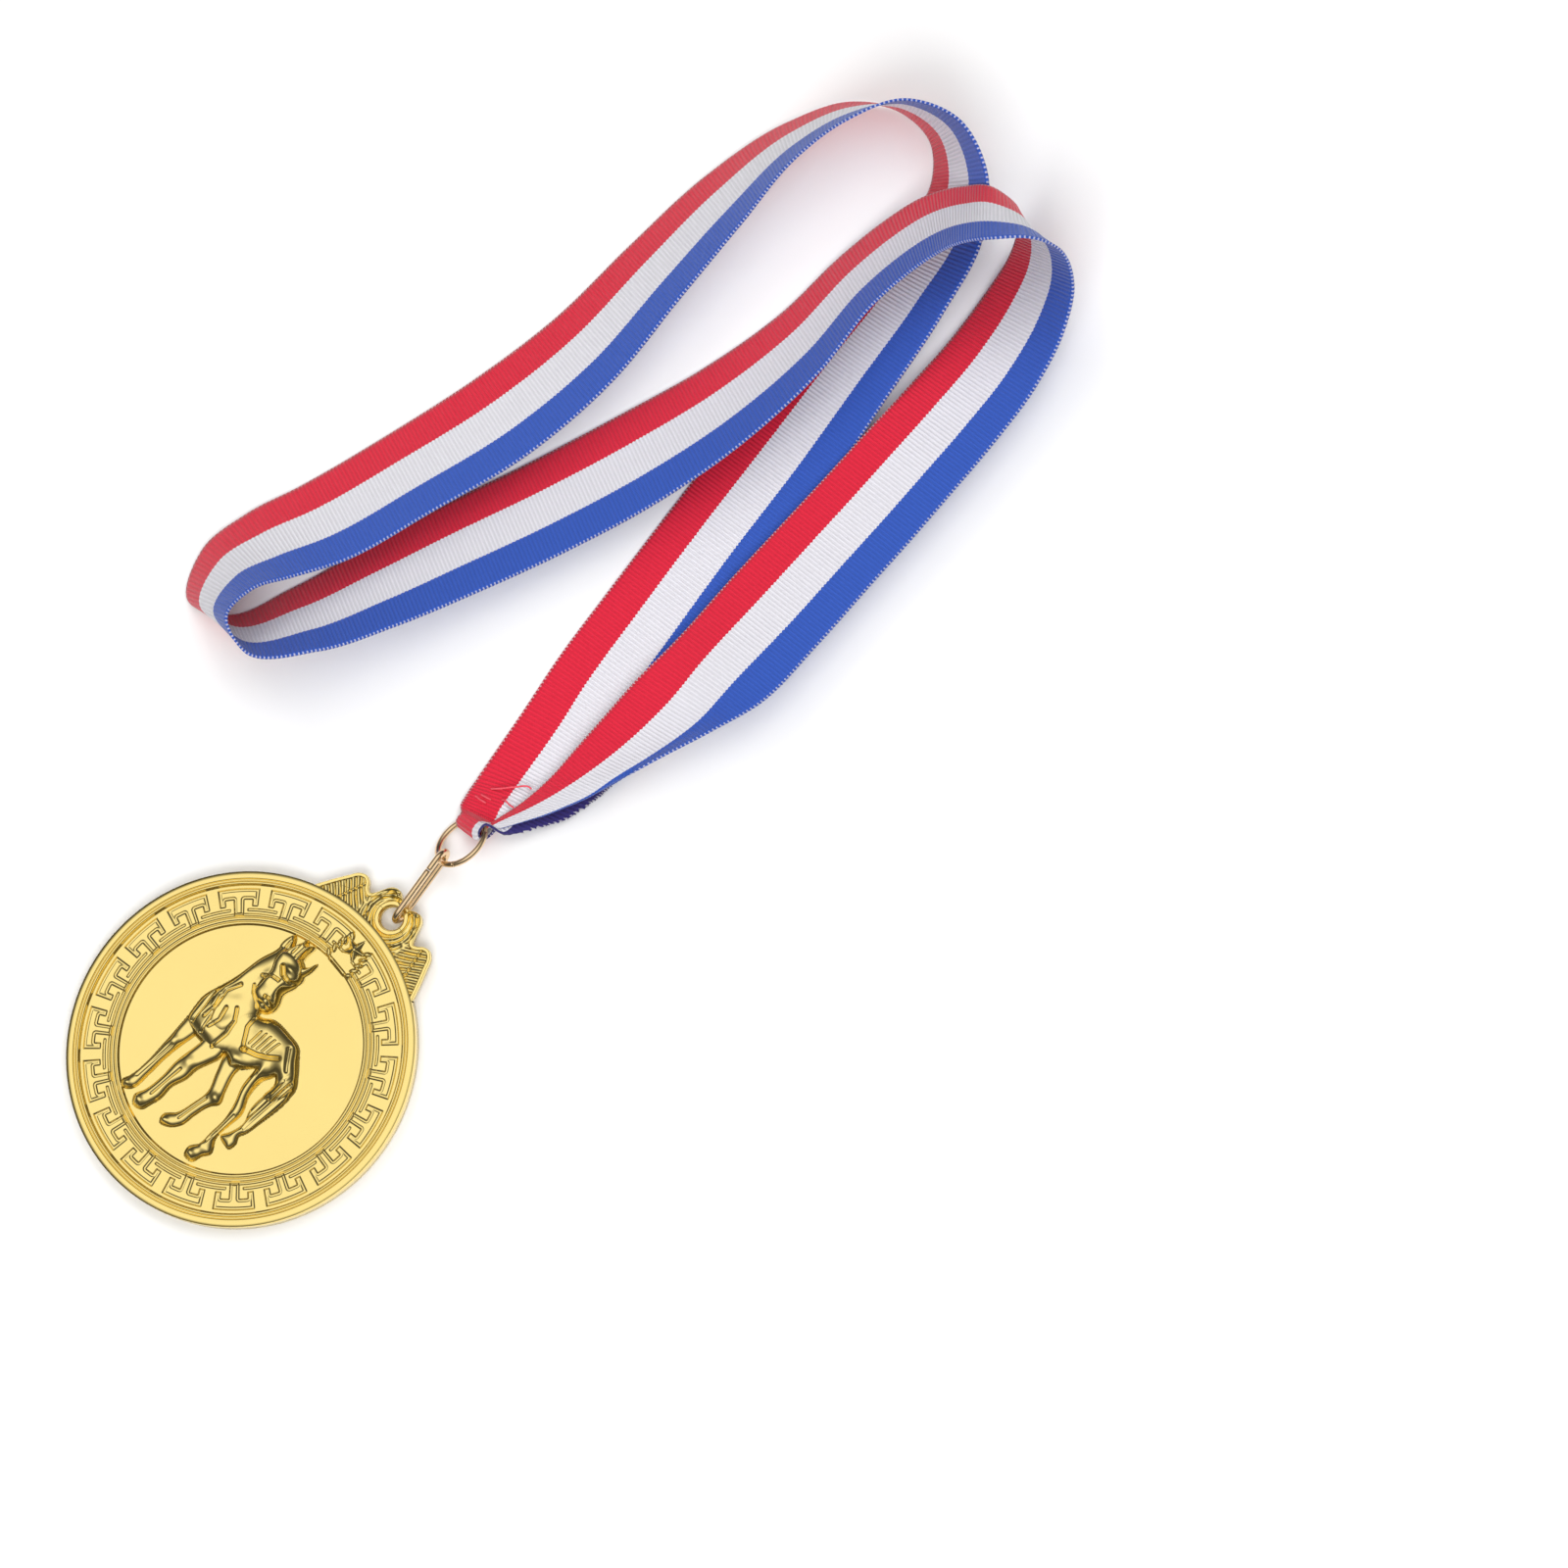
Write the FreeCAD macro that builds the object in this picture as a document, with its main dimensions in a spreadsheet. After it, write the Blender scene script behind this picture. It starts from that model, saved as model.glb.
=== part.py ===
import FreeCAD, Part
import math
import os

# A cast award medal on a striped neck ribbon, lying on a table as it is put down for display.
#
# Frame, in millimetres: Z is up and Z = 0 is the table top.  The origin is the centre of the
# medallion's back face.  +Y points from the medallion's centre to its hanging eye, and +X is to
# the right of somebody who reads the medallion with its eye at the top.
#
# The chain is ribbon (root), jump ring, oval link, medallion.  The ribbon is one woven band.  It
# is cut here into strands and bends, which meet face to face.

V = FreeCAD.Vector
Z_AXIS = V(0, 0, 1)

os.makedirs("parts", exist_ok=True)
doc = FreeCAD.newDocument("medal")

# ---------------------------------------------------------------------------------------------
# Driving dimensions
# ---------------------------------------------------------------------------------------------
DIMENSIONS = [
    ("disc_radius", 32.5),          # outer radius of the round medallion
    ("disc_height", 3.6),           # total thickness at the rim
    ("disc_edge_round", 0.6),       # rounding of the rim's outer edges
    ("rim_inner_radius", 30.8),     # where the flat rim ends
    ("band_inner_radius", 24.0),    # key-pattern band starts here
    ("band_depth", 0.7),            # depth of the band below the rim
    ("field_radius", 22.8),         # plain polished field in the middle
    ("field_depth", 1.1),           # depth of the field below the rim
    ("groove_radius", 23.4),        # fine groove in the ring round the field
    ("groove_wire", 0.18),
    ("key_bar_outer", 29.6),        # key pattern: tangential bar
    ("key_bar_inner", 27.9),
    ("key_bar_angle", 15.2),
    ("key_hook_inner", 26.4),       # inward hooks at the ends of the bar
    ("key_hook_angle", 2.2),
    ("key_stem_width", 1.6),
    ("key_stem_length", 4.2),
    ("key_height", 0.45),
    ("key_pitch", 19.7),            # degrees from one key to the next
    ("eye_offset", 36.0),           # centre of the hanging hole above the disc's centre
    ("eye_hole_radius", 2.15),
    ("eye_ring_radius", 3.1),
    ("eye_ring_rise", 0.2),
    ("plate_bottom", 1.9),          # underside of the thin winged plate with the eye
    ("plate_height", 1.4),
    ("figure_height", 0.9),         # relief of the horse above the field
    ("star_radius", 2.3),
    ("star_waist", 1.0),
    ("star_offset", 27.3),
    ("star_height", 0.45),
    ("link_wire_radius", 0.6),      # oval link
    ("link_bend_radius", 1.85),
    ("link_gap", 0.15),
    ("ring_wire_radius", 0.55),     # jump ring
    ("ring_radius", 5.1),
    ("ring_turn", 357.0),           # the ring is cut through, so it is not quite a full turn
    ("band_thickness", 0.5),        # woven ribbon
    ("fold_hole_radius", 1.45),     # loop of the sewn end round the ring
    ("fold_outer_radius", 1.9),
    ("fold_width", 6.2),
    ("stitch_radius", 0.2),
]
sheet = doc.addObject("Spreadsheet::Sheet", "dimensions")
for row, (alias, number) in enumerate(DIMENSIONS, start=1):
    sheet.set("A%d" % row, alias)
    sheet.set("B%d" % row, str(number))
    sheet.setAlias("B%d" % row, alias)
doc.recompute()


def size(alias):
    """Read one driving dimension."""
    return float(sheet.get(alias))


def bind(item, **expressions):
    """Bind properties of an object to cells of the sheet."""
    for name, expression in expressions.items():
        item.setExpression(name, expression)


def cell(alias):
    return "dimensions." + alias


def cylinder(name, radius, height, at=V(0, 0, 0), turn=None, sweep=None):
    item = doc.addObject("Part::Cylinder", name)
    bind(item, Radius=radius, Height=height)
    if sweep is not None:
        item.setExpression("Angle", sweep)
    item.Placement = FreeCAD.Placement(at, turn or FreeCAD.Rotation())
    return item


def combine(kind, name, *items):
    """Part::Cut of two objects, or Part::MultiFuse of many."""
    item = doc.addObject(kind, name)
    if kind == "Part::Cut":
        item.Base, item.Tool = items
    else:
        item.Shapes = list(items)
    return item


def solid_feature(name, shape):
    item = doc.addObject("Part::Feature", name)
    item.Shape = shape
    return item


# ---------------------------------------------------------------------------------------------
# Medallion: one casting with its rim, key-pattern band, polished field, figure, wings and eye
# ---------------------------------------------------------------------------------------------
KEYS_PER_SIDE = 9
FIRST_KEY_ANGLE = 12.65

# The figure is a standing horse that looks round, built of tapered limbs:
# (start x, start y, start radius, end x, end y, end radius)
HORSE = [
    (-7.2, 1.0, 5.0, -6.8, 12.0, 3.7),      # chest and neck
    (-6.6, 16.0, 2.9, -3.9, 9.3, 2.1),      # head
    (-8.7, 18.0, 0.9, -9.4, 20.4, 0.4),     # ears
    (-3.3, 17.3, 0.8, -2.6, 20.1, 0.35),
    (-6.6, 18.5, 1.0, -6.3, 21.4, 0.5),     # forelock
    (-5.5, 1.0, 4.6, 3.5, 3.4, 4.4),        # barrel
    (3.5, 3.4, 4.4, 8.8, 2.8, 4.2),         # croup
    (9.0, 1.5, 3.6, 8.3, -4.5, 1.9),        # haunch
    (-9.3, -3.0, 1.9, -9.2, -9.5, 1.3),     # near foreleg
    (-9.2, -9.5, 1.3, -8.9, -16.5, 0.9),
    (-8.9, -17.0, 0.9, -9.1, -19.5, 1.2),
    (-4.4, -3.5, 1.9, -4.3, -10.0, 1.7),    # off foreleg
    (-4.3, -10.0, 1.7, -4.7, -17.0, 1.1),
    (-4.7, -17.5, 1.1, -5.0, -19.8, 1.4),
    (0.4, -2.5, 2.0, 3.6, -9.4, 1.2),       # far hind leg
    (3.6, -9.4, 1.2, 2.6, -16.4, 0.9),
    (2.5, -16.6, 0.9, 1.0, -18.8, 1.1),
    (8.3, -4.5, 1.9, 8.7, -8.5, 1.2),       # near hind leg
    (8.7, -8.5, 1.2, 9.5, -15.8, 0.9),
    (9.6, -16.2, 1.0, 9.1, -18.5, 1.25),
    (11.4, 2.0, 1.6, 11.8, -8.0, 1.2),      # tail
    (11.8, -8.0, 1.2, 12.2, -12.0, 0.9),
]

# One side of the winged plate, from the rim up to the middle, x and y from the disc's centre
WING = [
    (14.4, 29.0), (12.9, 32.4), (11.3, 35.7), (9.7, 37.5), (8.3, 37.2),
    (6.6, 35.9), (5.6, 37.5), (4.4, 39.8), (2.7, 40.5), (0.0, 39.8),
]


def key_motif(number, angle):
    """One T-shaped key: a stem, a curved bar and a hook at each end of the bar."""
    tag = "key_%02d" % number
    low = size("disc_height") - size("band_depth")
    half_bar = size("key_bar_angle") / 2
    hook = size("key_hook_angle")

    def sector(name, outer, inner, start, sweep):
        turn = FreeCAD.Rotation(Z_AXIS, start)
        whole = cylinder(name + "_outer", cell(outer), cell("key_height"), V(0, 0, low), turn, cell(sweep))
        core = cylinder(name + "_inner", cell(inner), cell("key_height"), V(0, 0, low))
        return combine("Part::Cut", name, whole, core)

    bar = sector(tag + "_bar", "key_bar_outer", "key_bar_inner", -half_bar, "key_bar_angle")
    hooks = [
        sector(tag + "_hook_a", "key_bar_inner", "key_hook_inner", -half_bar, "key_hook_angle"),
        sector(tag + "_hook_b", "key_bar_inner", "key_hook_inner", half_bar - hook, "key_hook_angle"),
    ]
    stem = doc.addObject("Part::Box", tag + "_stem")
    bind(stem, Length=cell("key_stem_length"), Width=cell("key_stem_width"), Height=cell("key_height"))
    stem.Placement.Base = V(size("band_inner_radius") - 0.1, -size("key_stem_width") / 2, low)
    motif = combine("Part::MultiFuse", tag, bar, stem, *hooks)
    motif.Placement = FreeCAD.Placement(V(0, 0, 0), FreeCAD.Rotation(Z_AXIS, angle))
    return motif


def limb_face(x0, y0, r0, x1, y1, r1):
    """Outline of a tapered limb: two discs and the tangent quadrilateral between them."""
    along = V(x1 - x0, y1 - y0, 0)
    length = along.Length
    heading = math.atan2(along.y, along.x)
    spread = math.acos((r0 - r1) / length)
    corners = []
    for side in (1, -1):
        direction = heading + side * spread
        unit = V(math.cos(direction), math.sin(direction), 0)
        corners.append((V(x0, y0, 0) + unit * r0, V(x1, y1, 0) + unit * r1))
    (a0, a1), (b0, b1) = corners
    quad = Part.Face(Part.makePolygon([a0, a1, b1, b0, a0]))
    ends = ((x0, y0, r0), (x1, y1, r1))
    discs = [Part.Face(Part.Wire(Part.makeCircle(r, V(x, y, 0)))) for x, y, r in ends]
    return quad.multiFuse(discs)


def horse_relief():
    low = size("disc_height") - size("field_depth") - 0.05
    pieces = []
    for limb in HORSE:
        face = limb_face(*limb)
        face.translate(V(0, 0, low))
        pieces.append(face.extrude(V(0, 0, size("figure_height"))))
    return pieces[0].multiFuse(pieces[1:]).removeSplitter()


def wing_plate():
    right = [V(x, y, 0) for x, y in WING]
    left = [V(-x, y, 0) for x, y in reversed(WING[:-1])]
    outline = Part.BSplineCurve()
    outline.interpolate(right + left)
    base = Part.LineSegment(left[-1], right[0])
    face = Part.Face(Part.Wire([outline.toShape(), base.toShape()]))
    face.translate(V(0, 0, size("plate_bottom")))
    return face.extrude(V(0, 0, size("plate_height")))


def star():
    points = []
    for step in range(11):
        reach = size("star_radius") if step % 2 == 0 else size("star_waist")
        angle = math.radians(90 + 36 * step)
        points.append(V(reach * math.cos(angle), size("star_offset") + reach * math.sin(angle), 0))
    face = Part.Face(Part.makePolygon(points))
    face.translate(V(0, 0, size("disc_height") - size("band_depth")))
    return face.extrude(V(0, 0, size("star_height")))


def make_medallion():
    top = size("disc_height")
    blank = cylinder("disc_blank", cell("disc_radius"), cell("disc_height"))
    doc.recompute()
    rounded = doc.addObject("Part::Fillet", "disc_rounded")
    rounded.Base = blank
    radius = size("disc_edge_round")
    edges = enumerate(blank.Shape.Edges, start=1)
    rims = [i for i, edge in edges if edge.Curve.TypeId == "Part::GeomCircle"]
    rounded.Edges = [(i, radius, radius) for i in rims]

    band_outer = cylinder("band_outer", cell("rim_inner_radius"), cell("band_depth"),
                          V(0, 0, top - size("band_depth")))
    band_core = cylinder("band_core", cell("band_inner_radius"), cell("band_depth"),
                         V(0, 0, top - size("band_depth")))
    band = combine("Part::Cut", "band_recess", band_outer, band_core)
    field = cylinder("field_recess", cell("field_radius"), cell("field_depth"),
                     V(0, 0, top - size("field_depth")))
    groove = doc.addObject("Part::Torus", "ring_groove")
    bind(groove, Radius1=cell("groove_radius"), Radius2=cell("groove_wire"))
    groove.Placement.Base = V(0, 0, top)

    plate = solid_feature("winged_plate", wing_plate())
    eye_ring = cylinder("eye_ring", cell("eye_ring_radius"), cell("plate_height + dimensions.eye_ring_rise"),
                        V(0, size("eye_offset"), size("plate_bottom")))
    recesses = combine("Part::MultiFuse", "recesses", band, field, groove)
    body = combine("Part::MultiFuse", "casting_body", rounded, plate, eye_ring)
    carved = combine("Part::Cut", "carved_body", body, recesses)

    keys = []
    for side in (1, -1):
        for step in range(KEYS_PER_SIDE):
            angle = 90 + side * (FIRST_KEY_ANGLE + size("key_pitch") * step)
            keys.append(key_motif(len(keys), angle))
    figure = solid_feature("horse_relief", horse_relief())
    badge = solid_feature("star_relief", star())
    raised = combine("Part::MultiFuse", "raised_work", carved, figure, badge, *keys)

    hole = cylinder("eye_hole", cell("eye_hole_radius"), cell("disc_height"), V(0, size("eye_offset"), 0))
    return combine("Part::Cut", "medallion", raised, hole)


# ---------------------------------------------------------------------------------------------
# Oval link: a stadium of round wire that stands on edge, through the eye and round the ring
# ---------------------------------------------------------------------------------------------
EYE_WIRE = V(0.7, 36.3, 2.62)       # where the link's lower bend passes through the eye
RING_CENTRE = V(-2.15, 54.5, 3.8)
RING_TILT = 36.0                    # degrees: the ring's +X side is propped up


def ring_axes():
    """The ring's long direction, its raised direction and its normal."""
    tilt = math.radians(RING_TILT)
    along = V(0, 1, 0)
    across = V(math.cos(tilt), 0, math.sin(tilt))
    return along, across, across.cross(along)


def link_frame():
    """Placement that turns local X along the link and local Y up, with the origin at its lower bend."""
    along, across, normal = ring_axes()
    contact = RING_CENTRE - along * size("ring_radius")
    start = EYE_WIRE
    run = contact - start
    x_axis = V(run)
    x_axis.normalize()
    z_axis = x_axis.cross(Z_AXIS)
    z_axis.normalize()
    y_axis = z_axis.cross(x_axis)
    turn = FreeCAD.Rotation(x_axis, y_axis, z_axis, "XYZ")
    return FreeCAD.Placement(start, turn), run.Length


def make_link():
    frame, reach = link_frame()
    bend = size("link_bend_radius")
    straight = reach - bend
    flat = FreeCAD.Rotation()
    along_x = FreeCAD.Rotation(V(0, 1, 0), 90)
    pieces = []
    for name, centre, start in (("link_bend_eye", bend, 90.0), ("link_bend_ring", reach, -90.0)):
        torus = doc.addObject("Part::Torus", name)
        bind(torus, Radius1=cell("link_bend_radius"), Radius2=cell("link_wire_radius"))
        torus.Angle3 = 180
        local = FreeCAD.Placement(V(centre, 0, 0), FreeCAD.Rotation(Z_AXIS, start))
        torus.Placement = frame * local
        pieces.append(torus)
    for name, side in (("link_side_upper", 1), ("link_side_lower", -1)):
        rod = doc.addObject("Part::Cylinder", name)
        bind(rod, Radius=cell("link_wire_radius"))
        rod.Height = straight
        rod.Placement = frame * FreeCAD.Placement(V(bend, side * bend, 0), along_x)
        pieces.append(rod)
    whole = combine("Part::MultiFuse", "link_wire", *pieces)
    seam = doc.addObject("Part::Box", "link_seam")
    seam.Length, seam.Width, seam.Height = size("link_gap"), 2.0, 2.0
    seam.Placement = frame * FreeCAD.Placement(V(reach - 2.6, bend - 1.0, -1.0), flat)
    return combine("Part::Cut", "oval_link", whole, seam)


# ---------------------------------------------------------------------------------------------
# Jump ring: one turn of round wire, cut through
# ---------------------------------------------------------------------------------------------
def make_ring():
    along, across, normal = ring_axes()
    ring = doc.addObject("Part::Torus", "jump_ring")
    bind(ring, Radius1=cell("ring_radius"), Radius2=cell("ring_wire_radius"), Angle3=cell("ring_turn"))
    cut_angle = math.radians(133)       # from +Y round to the raised side
    start = along * math.cos(cut_angle) + across * math.sin(cut_angle)
    turn = FreeCAD.Rotation(start, V(), normal, "ZXY")
    ring.Placement = FreeCAD.Placement(RING_CENTRE, turn)
    return ring


# ---------------------------------------------------------------------------------------------
# Ribbon: red edge and blue edge of the band, from one side of the ring, round the neck loop,
# folded over twice, and back to the ring.  Each row is (red x, y, z), (blue x, y, z).
# ---------------------------------------------------------------------------------------------
BAND = [
    ("ribbon_strand_1", [
        ((-8.6, 62.0, 1.0), (5.4, 67.8, 3.3)),
        ((-11.5, 69.0, 0.8), (7.8, 77.5, 1.4)),
        ((-14.2, 78.0, 0.5), (6.8, 84.0, 1.2)),
        ((-17.5, 89.0, 0.5), (4.0, 94.0, 1.2)),
        ((-21.0, 104.0, 0.5), (0.3, 108.5, 1.8)),
        ((-25.0, 122.0, 0.5), (-4.0, 126.5, 2.8)),
        ((-29.0, 141.0, 0.5), (-8.0, 145.5, 3.6)),
        ((-32.5, 160.0, 0.5), (-12.4, 164.0, 6.2)),
        ((-35.0, 177.0, 0.5), (-16.1, 181.5, 10.6)),
    ]),
    ("ribbon_bend_1", [
        ((-36.8, 189.5, 0.5), (-21.0, 196.0, 14.2)),
        ((-40.2, 196.8, 0.5), (-29.0, 204.3, 17.6)),
        ((-46.0, 201.0, 0.5), (-38.5, 206.5, 20.6)),
        ((-54.0, 200.5, 0.8), (-47.5, 201.8, 21.8)),
        ((-61.3, 195.0, 1.2), (-52.2, 191.3, 21.2)),
    ]),
    ("ribbon_strand_2", [
        ((-66.5, 183.5, 1.2), (-53.8, 180.5, 19.2)),
        ((-69.0, 166.0, 0.9), (-52.5, 165.2, 15.4)),
        ((-68.5, 147.5, 0.6), (-50.3, 148.3, 12.9)),
        ((-67.3, 128.5, 0.5), (-47.6, 128.7, 10.2)),
        ((-68.5, 110.5, 0.5), (-48.2, 108.5, 8.6)),
        ((-71.3, 92.0, 0.5), (-51.6, 89.0, 9.3)),
        ((-75.0, 73.0, 0.5), (-55.4, 70.2, 10.4)),
    ]),
    ("ribbon_bend_2", [
        ((-77.6, 62.5, 0.8), (-58.4, 62.0, 12.8)),
        ((-77.8, 52.0, 1.2), (-60.3, 55.3, 16.2)),
        ((-72.2, 44.2, 1.0), (-58.4, 48.6, 18.8)),
        ((-65.4, 47.8, 0.5), (-51.7, 47.2, 17.6)),
    ]),
    ("ribbon_strand_3", [
        ((-61.0, 60.0, 0.5), (-44.0, 57.3, 13.8)),
        ((-57.7, 75.0, 0.5), (-38.9, 70.8, 11.0)),
        ((-54.3, 90.0, 0.5), (-34.5, 85.2, 9.2)),
        ((-49.5, 107.5, 0.5), (-29.5, 102.7, 8.2)),
        ((-45.0, 126.0, 0.5), (-25.0, 121.5, 8.6)),
        ((-41.2, 143.5, 0.5), (-22.2, 140.5, 11.0)),
        ((-39.5, 160.0, 0.7), (-22.0, 158.5, 13.8)),
        ((-39.9, 175.5, 2.0), (-24.0, 173.5, 16.8)),
    ]),
    ("ribbon_bend_3", [
        ((-38.9, 184.5, 4.0), (-23.3, 181.0, 19.2)),
        ((-36.4, 192.5, 7.5), (-21.5, 187.0, 22.6)),
        ((-31.0, 199.2, 13.2), (-18.0, 192.0, 28.2)),
        ((-25.1, 203.2, 17.9), (-13.2, 196.8, 32.2)),
        ((-21.0, 204.2, 15.4), (-9.4, 201.4, 31.6)),
        ((-19.2, 201.8, 9.2), (-5.8, 204.4, 25.6)),
        ((-18.1, 197.4, 4.0), (-1.9, 202.5, 18.0)),
    ]),
    ("ribbon_strand_4", [
        ((-16.7, 190.6, 1.8), (1.9, 195.7, 12.4)),
        ((-14.4, 181.1, 2.0), (5.4, 185.7, 9.8)),
        ((-11.9, 168.1, 4.0), (8.3, 172.0, 9.0)),
        ((-10.0, 157.1, 5.7), (10.1, 161.0, 9.0)),
        ((-8.8, 147.1, 5.5), (11.6, 151.0, 8.8)),
        ((-7.7, 137.1, 5.2), (12.9, 141.0, 8.6)),
        ((-6.0, 122.1, 5.0), (15.0, 126.1, 8.6)),
        ((-4.1, 107.2, 4.6), (16.4, 111.6, 9.0)),
        ((-3.0, 96.5, 4.6), (14.2, 101.3, 9.6)),
        ((-1.7, 87.0, 4.6), (11.3, 92.0, 9.2)),
        ((-0.5, 77.0, 4.5), (8.4, 81.5, 7.6)),
        ((-0.4, 69.5, 4.3), (6.0, 72.8, 6.2)),
        ((-1.6, 64.9, 3.9), (4.0, 67.22, 4.9)),
    ]),
]
STEPS_PER_STATION = 3


def edge_curve(points):
    """A smooth curve whose parameter counts the stations."""
    curve = Part.BSplineCurve()
    curve.interpolate(Points=[V(*p) for p in points], Parameters=[float(i) for i in range(len(points))])
    return curve


def band_section(red, blue, where, half):
    """Rectangular cross-section of the band at one place, as a closed wire.

    At both ends of the band it stands upright, so that it lies flat on the sewn end's face.
    """
    low = red.value(where)
    high = blue.value(where)
    travel = red.tangent(where)[0] + blue.tangent(where)[0]
    if where in (red.FirstParameter, red.LastParameter):
        travel = (high - low).cross(Z_AXIS)
    out = (high - low).cross(travel)
    out.normalize()
    out = out * half
    return Part.makePolygon([low - out, high - out, high + out, low + out, low - out])


def make_ribbon():
    stations = [station for name, rows in BAND for station in rows]
    red = edge_curve([station[0] for station in stations])
    blue = edge_curve([station[1] for station in stations])
    half = size("band_thickness") / 2
    made = []
    first = 0
    for name, rows in BAND:
        last = min(first + len(rows), len(stations) - 1)
        count = (last - first) * STEPS_PER_STATION
        places = [first + i / STEPS_PER_STATION for i in range(count + 1)]
        sections = [band_section(red, blue, where, half) for where in places]
        made.append(solid_feature(name, Part.makeLoft(sections, True, True)))
        first = last
    print("red edge %.1f mm, blue edge %.1f mm" % (red.length(), blue.length()))
    return made


# ---------------------------------------------------------------------------------------------
# Sewn end: both ends of the band, pleated together, go through the ring, fold back and are sewn
# ---------------------------------------------------------------------------------------------
FOLD_ANGLE = -8.0                   # degrees round the ring from +Y, on the side away from the link
FOLD_SET_BACK = 0.6                 # the hinge line lies this far inside the ring's wire
FOLD_TAIL = (V(-8.6, 62.0, 2.0), V(5.4, 67.8, 4.3))     # its wide end, left and right
FOLD_TAIL_HALF = 1.25


def fold_frame():
    """Placement with local X along the hinge line and local Y towards the band."""
    along, across, normal = ring_axes()
    angle = math.radians(FOLD_ANGLE)
    outward = along * math.cos(angle) + across * math.sin(angle)
    hinge = across * math.cos(angle) - along * math.sin(angle)
    centre = RING_CENTRE + outward * (size("ring_radius") - FOLD_SET_BACK)
    return FreeCAD.Placement(centre, FreeCAD.Rotation(hinge, outward, normal * -1, "XYZ"))


def make_fold():
    frame = fold_frame()
    half = size("fold_width") / 2
    outer = size("fold_outer_radius")
    along_x = FreeCAD.Rotation(V(0, 1, 0), 90)
    start = V(-half, 0, 0)
    loop = cylinder("fold_loop", cell("fold_outer_radius"), cell("fold_width"))
    loop.Placement = frame * FreeCAD.Placement(start, along_x)
    throat = cylinder("fold_throat", cell("fold_hole_radius"), cell("fold_width * 1.5"))
    throat.Placement = frame * FreeCAD.Placement(start * 1.5, along_x)

    near = []
    for x, z in ((-half, -outer), (half, -outer), (half, outer), (-half, outer)):
        near.append(frame.multVec(V(x, 0.0, z)))
    left, right = FOLD_TAIL
    rise = V(0, 0, FOLD_TAIL_HALF)
    far = [left + rise, right + rise, right - rise, left - rise]
    if (near[0] - far[0]).Length > (near[3] - far[0]).Length:
        near = [near[3], near[2], near[1], near[0]]
    rings = [Part.makePolygon(corners + corners[:1]) for corners in (near, far)]
    wedge = solid_feature("fold_wedge", Part.makeLoft(rings, True, True))
    cloth = combine("Part::MultiFuse", "fold_cloth", loop, wedge)
    top = (near[0], near[1], far[1], far[0])
    return combine("Part::Cut", "ribbon_sewn_end", cloth, throat), top


# Bar tack on top of the sewn end: each stitch runs across the cloth, (from, to, place) as
# fractions of the cloth's width and of its length from the ring
STITCHES = [(0.22, 0.44, 0.40), (0.30, 0.52, 0.52), (0.24, 0.46, 0.64), (0.52, 0.68, 0.58)]


def make_stitches(wedge):
    """Red thread of the bar tack, one straight stitch on the cloth for each row."""
    near_left, near_right, far_right, far_left = wedge
    radius = size("stitch_radius")

    def on_top(across, place):
        near = near_left + (near_right - near_left) * across
        far = far_left + (far_right - far_left) * across
        return near + (far - near) * place

    pieces = []
    for number, (start, end, place) in enumerate(STITCHES):
        first = on_top(start, place)
        run = on_top(end, place) - first
        slope = on_top(start, place + 0.1) - first
        lift = run.cross(slope)
        lift.normalize()
        turn = FreeCAD.Rotation(Z_AXIS, run)
        middle = first + lift * radius
        stitch = cylinder("stitch_%d" % number, cell("stitch_radius"), str(run.Length), middle, turn)
        pieces.append(stitch)
    group = doc.addObject("Part::Compound", "bar_tack_thread")
    group.Links = pieces
    return group


# ---------------------------------------------------------------------------------------------
# Build, check and write
# ---------------------------------------------------------------------------------------------
sewn_end, cloth_top = make_fold()
nodes = [make_medallion(), make_link(), make_ring(), sewn_end, make_stitches(cloth_top)] + make_ribbon()
for node in nodes:
    node.Label = node.Name
doc.recompute()

faults = []
for item in doc.Objects:
    if "Invalid" in item.State or "Error" in item.State:
        faults.append("%s is %s" % (item.Name, item.State))
for node in nodes:
    if node.Shape.isNull() or not node.Shape.isValid():
        faults.append("%s has no valid shape" % node.Label)
if faults:
    raise RuntimeError("; ".join(faults))

for node in nodes:
    box = node.Shape.BoundBox
    print("%-18s solids %d volume %9.2f  x %.2f..%.2f y %.2f..%.2f z %.2f..%.2f" % (
        node.Label, len(node.Shape.Solids), node.Shape.Volume,
        box.XMin, box.XMax, box.YMin, box.YMax, box.ZMin, box.ZMax))
    node.Shape.exportStep(os.path.join("parts", node.Label + ".step"))
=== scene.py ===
import math

import bpy
import numpy as np
from mathutils import Matrix, Vector


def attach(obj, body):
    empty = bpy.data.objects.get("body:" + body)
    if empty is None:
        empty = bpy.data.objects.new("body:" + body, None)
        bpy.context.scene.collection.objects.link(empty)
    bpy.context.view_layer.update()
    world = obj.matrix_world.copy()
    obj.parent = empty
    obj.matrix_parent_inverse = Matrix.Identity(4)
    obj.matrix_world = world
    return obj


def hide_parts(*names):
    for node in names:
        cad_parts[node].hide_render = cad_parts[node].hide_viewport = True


# An award medal on a striped neck ribbon.  Row frame: metres, Z up, origin at the middle of the
# medallion's back, +Y towards its eye.  Shapes below are worked out in millimetres and scaled
# once, when a mesh is made.

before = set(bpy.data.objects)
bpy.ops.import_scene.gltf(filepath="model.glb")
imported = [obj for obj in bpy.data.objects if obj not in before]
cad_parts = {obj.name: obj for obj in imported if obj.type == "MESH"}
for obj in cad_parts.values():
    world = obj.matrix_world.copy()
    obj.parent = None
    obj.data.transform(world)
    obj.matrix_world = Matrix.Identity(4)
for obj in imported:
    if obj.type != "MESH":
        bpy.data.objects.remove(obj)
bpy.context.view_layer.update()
MM = 0.001
RNG = np.random.default_rng(11)


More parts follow.
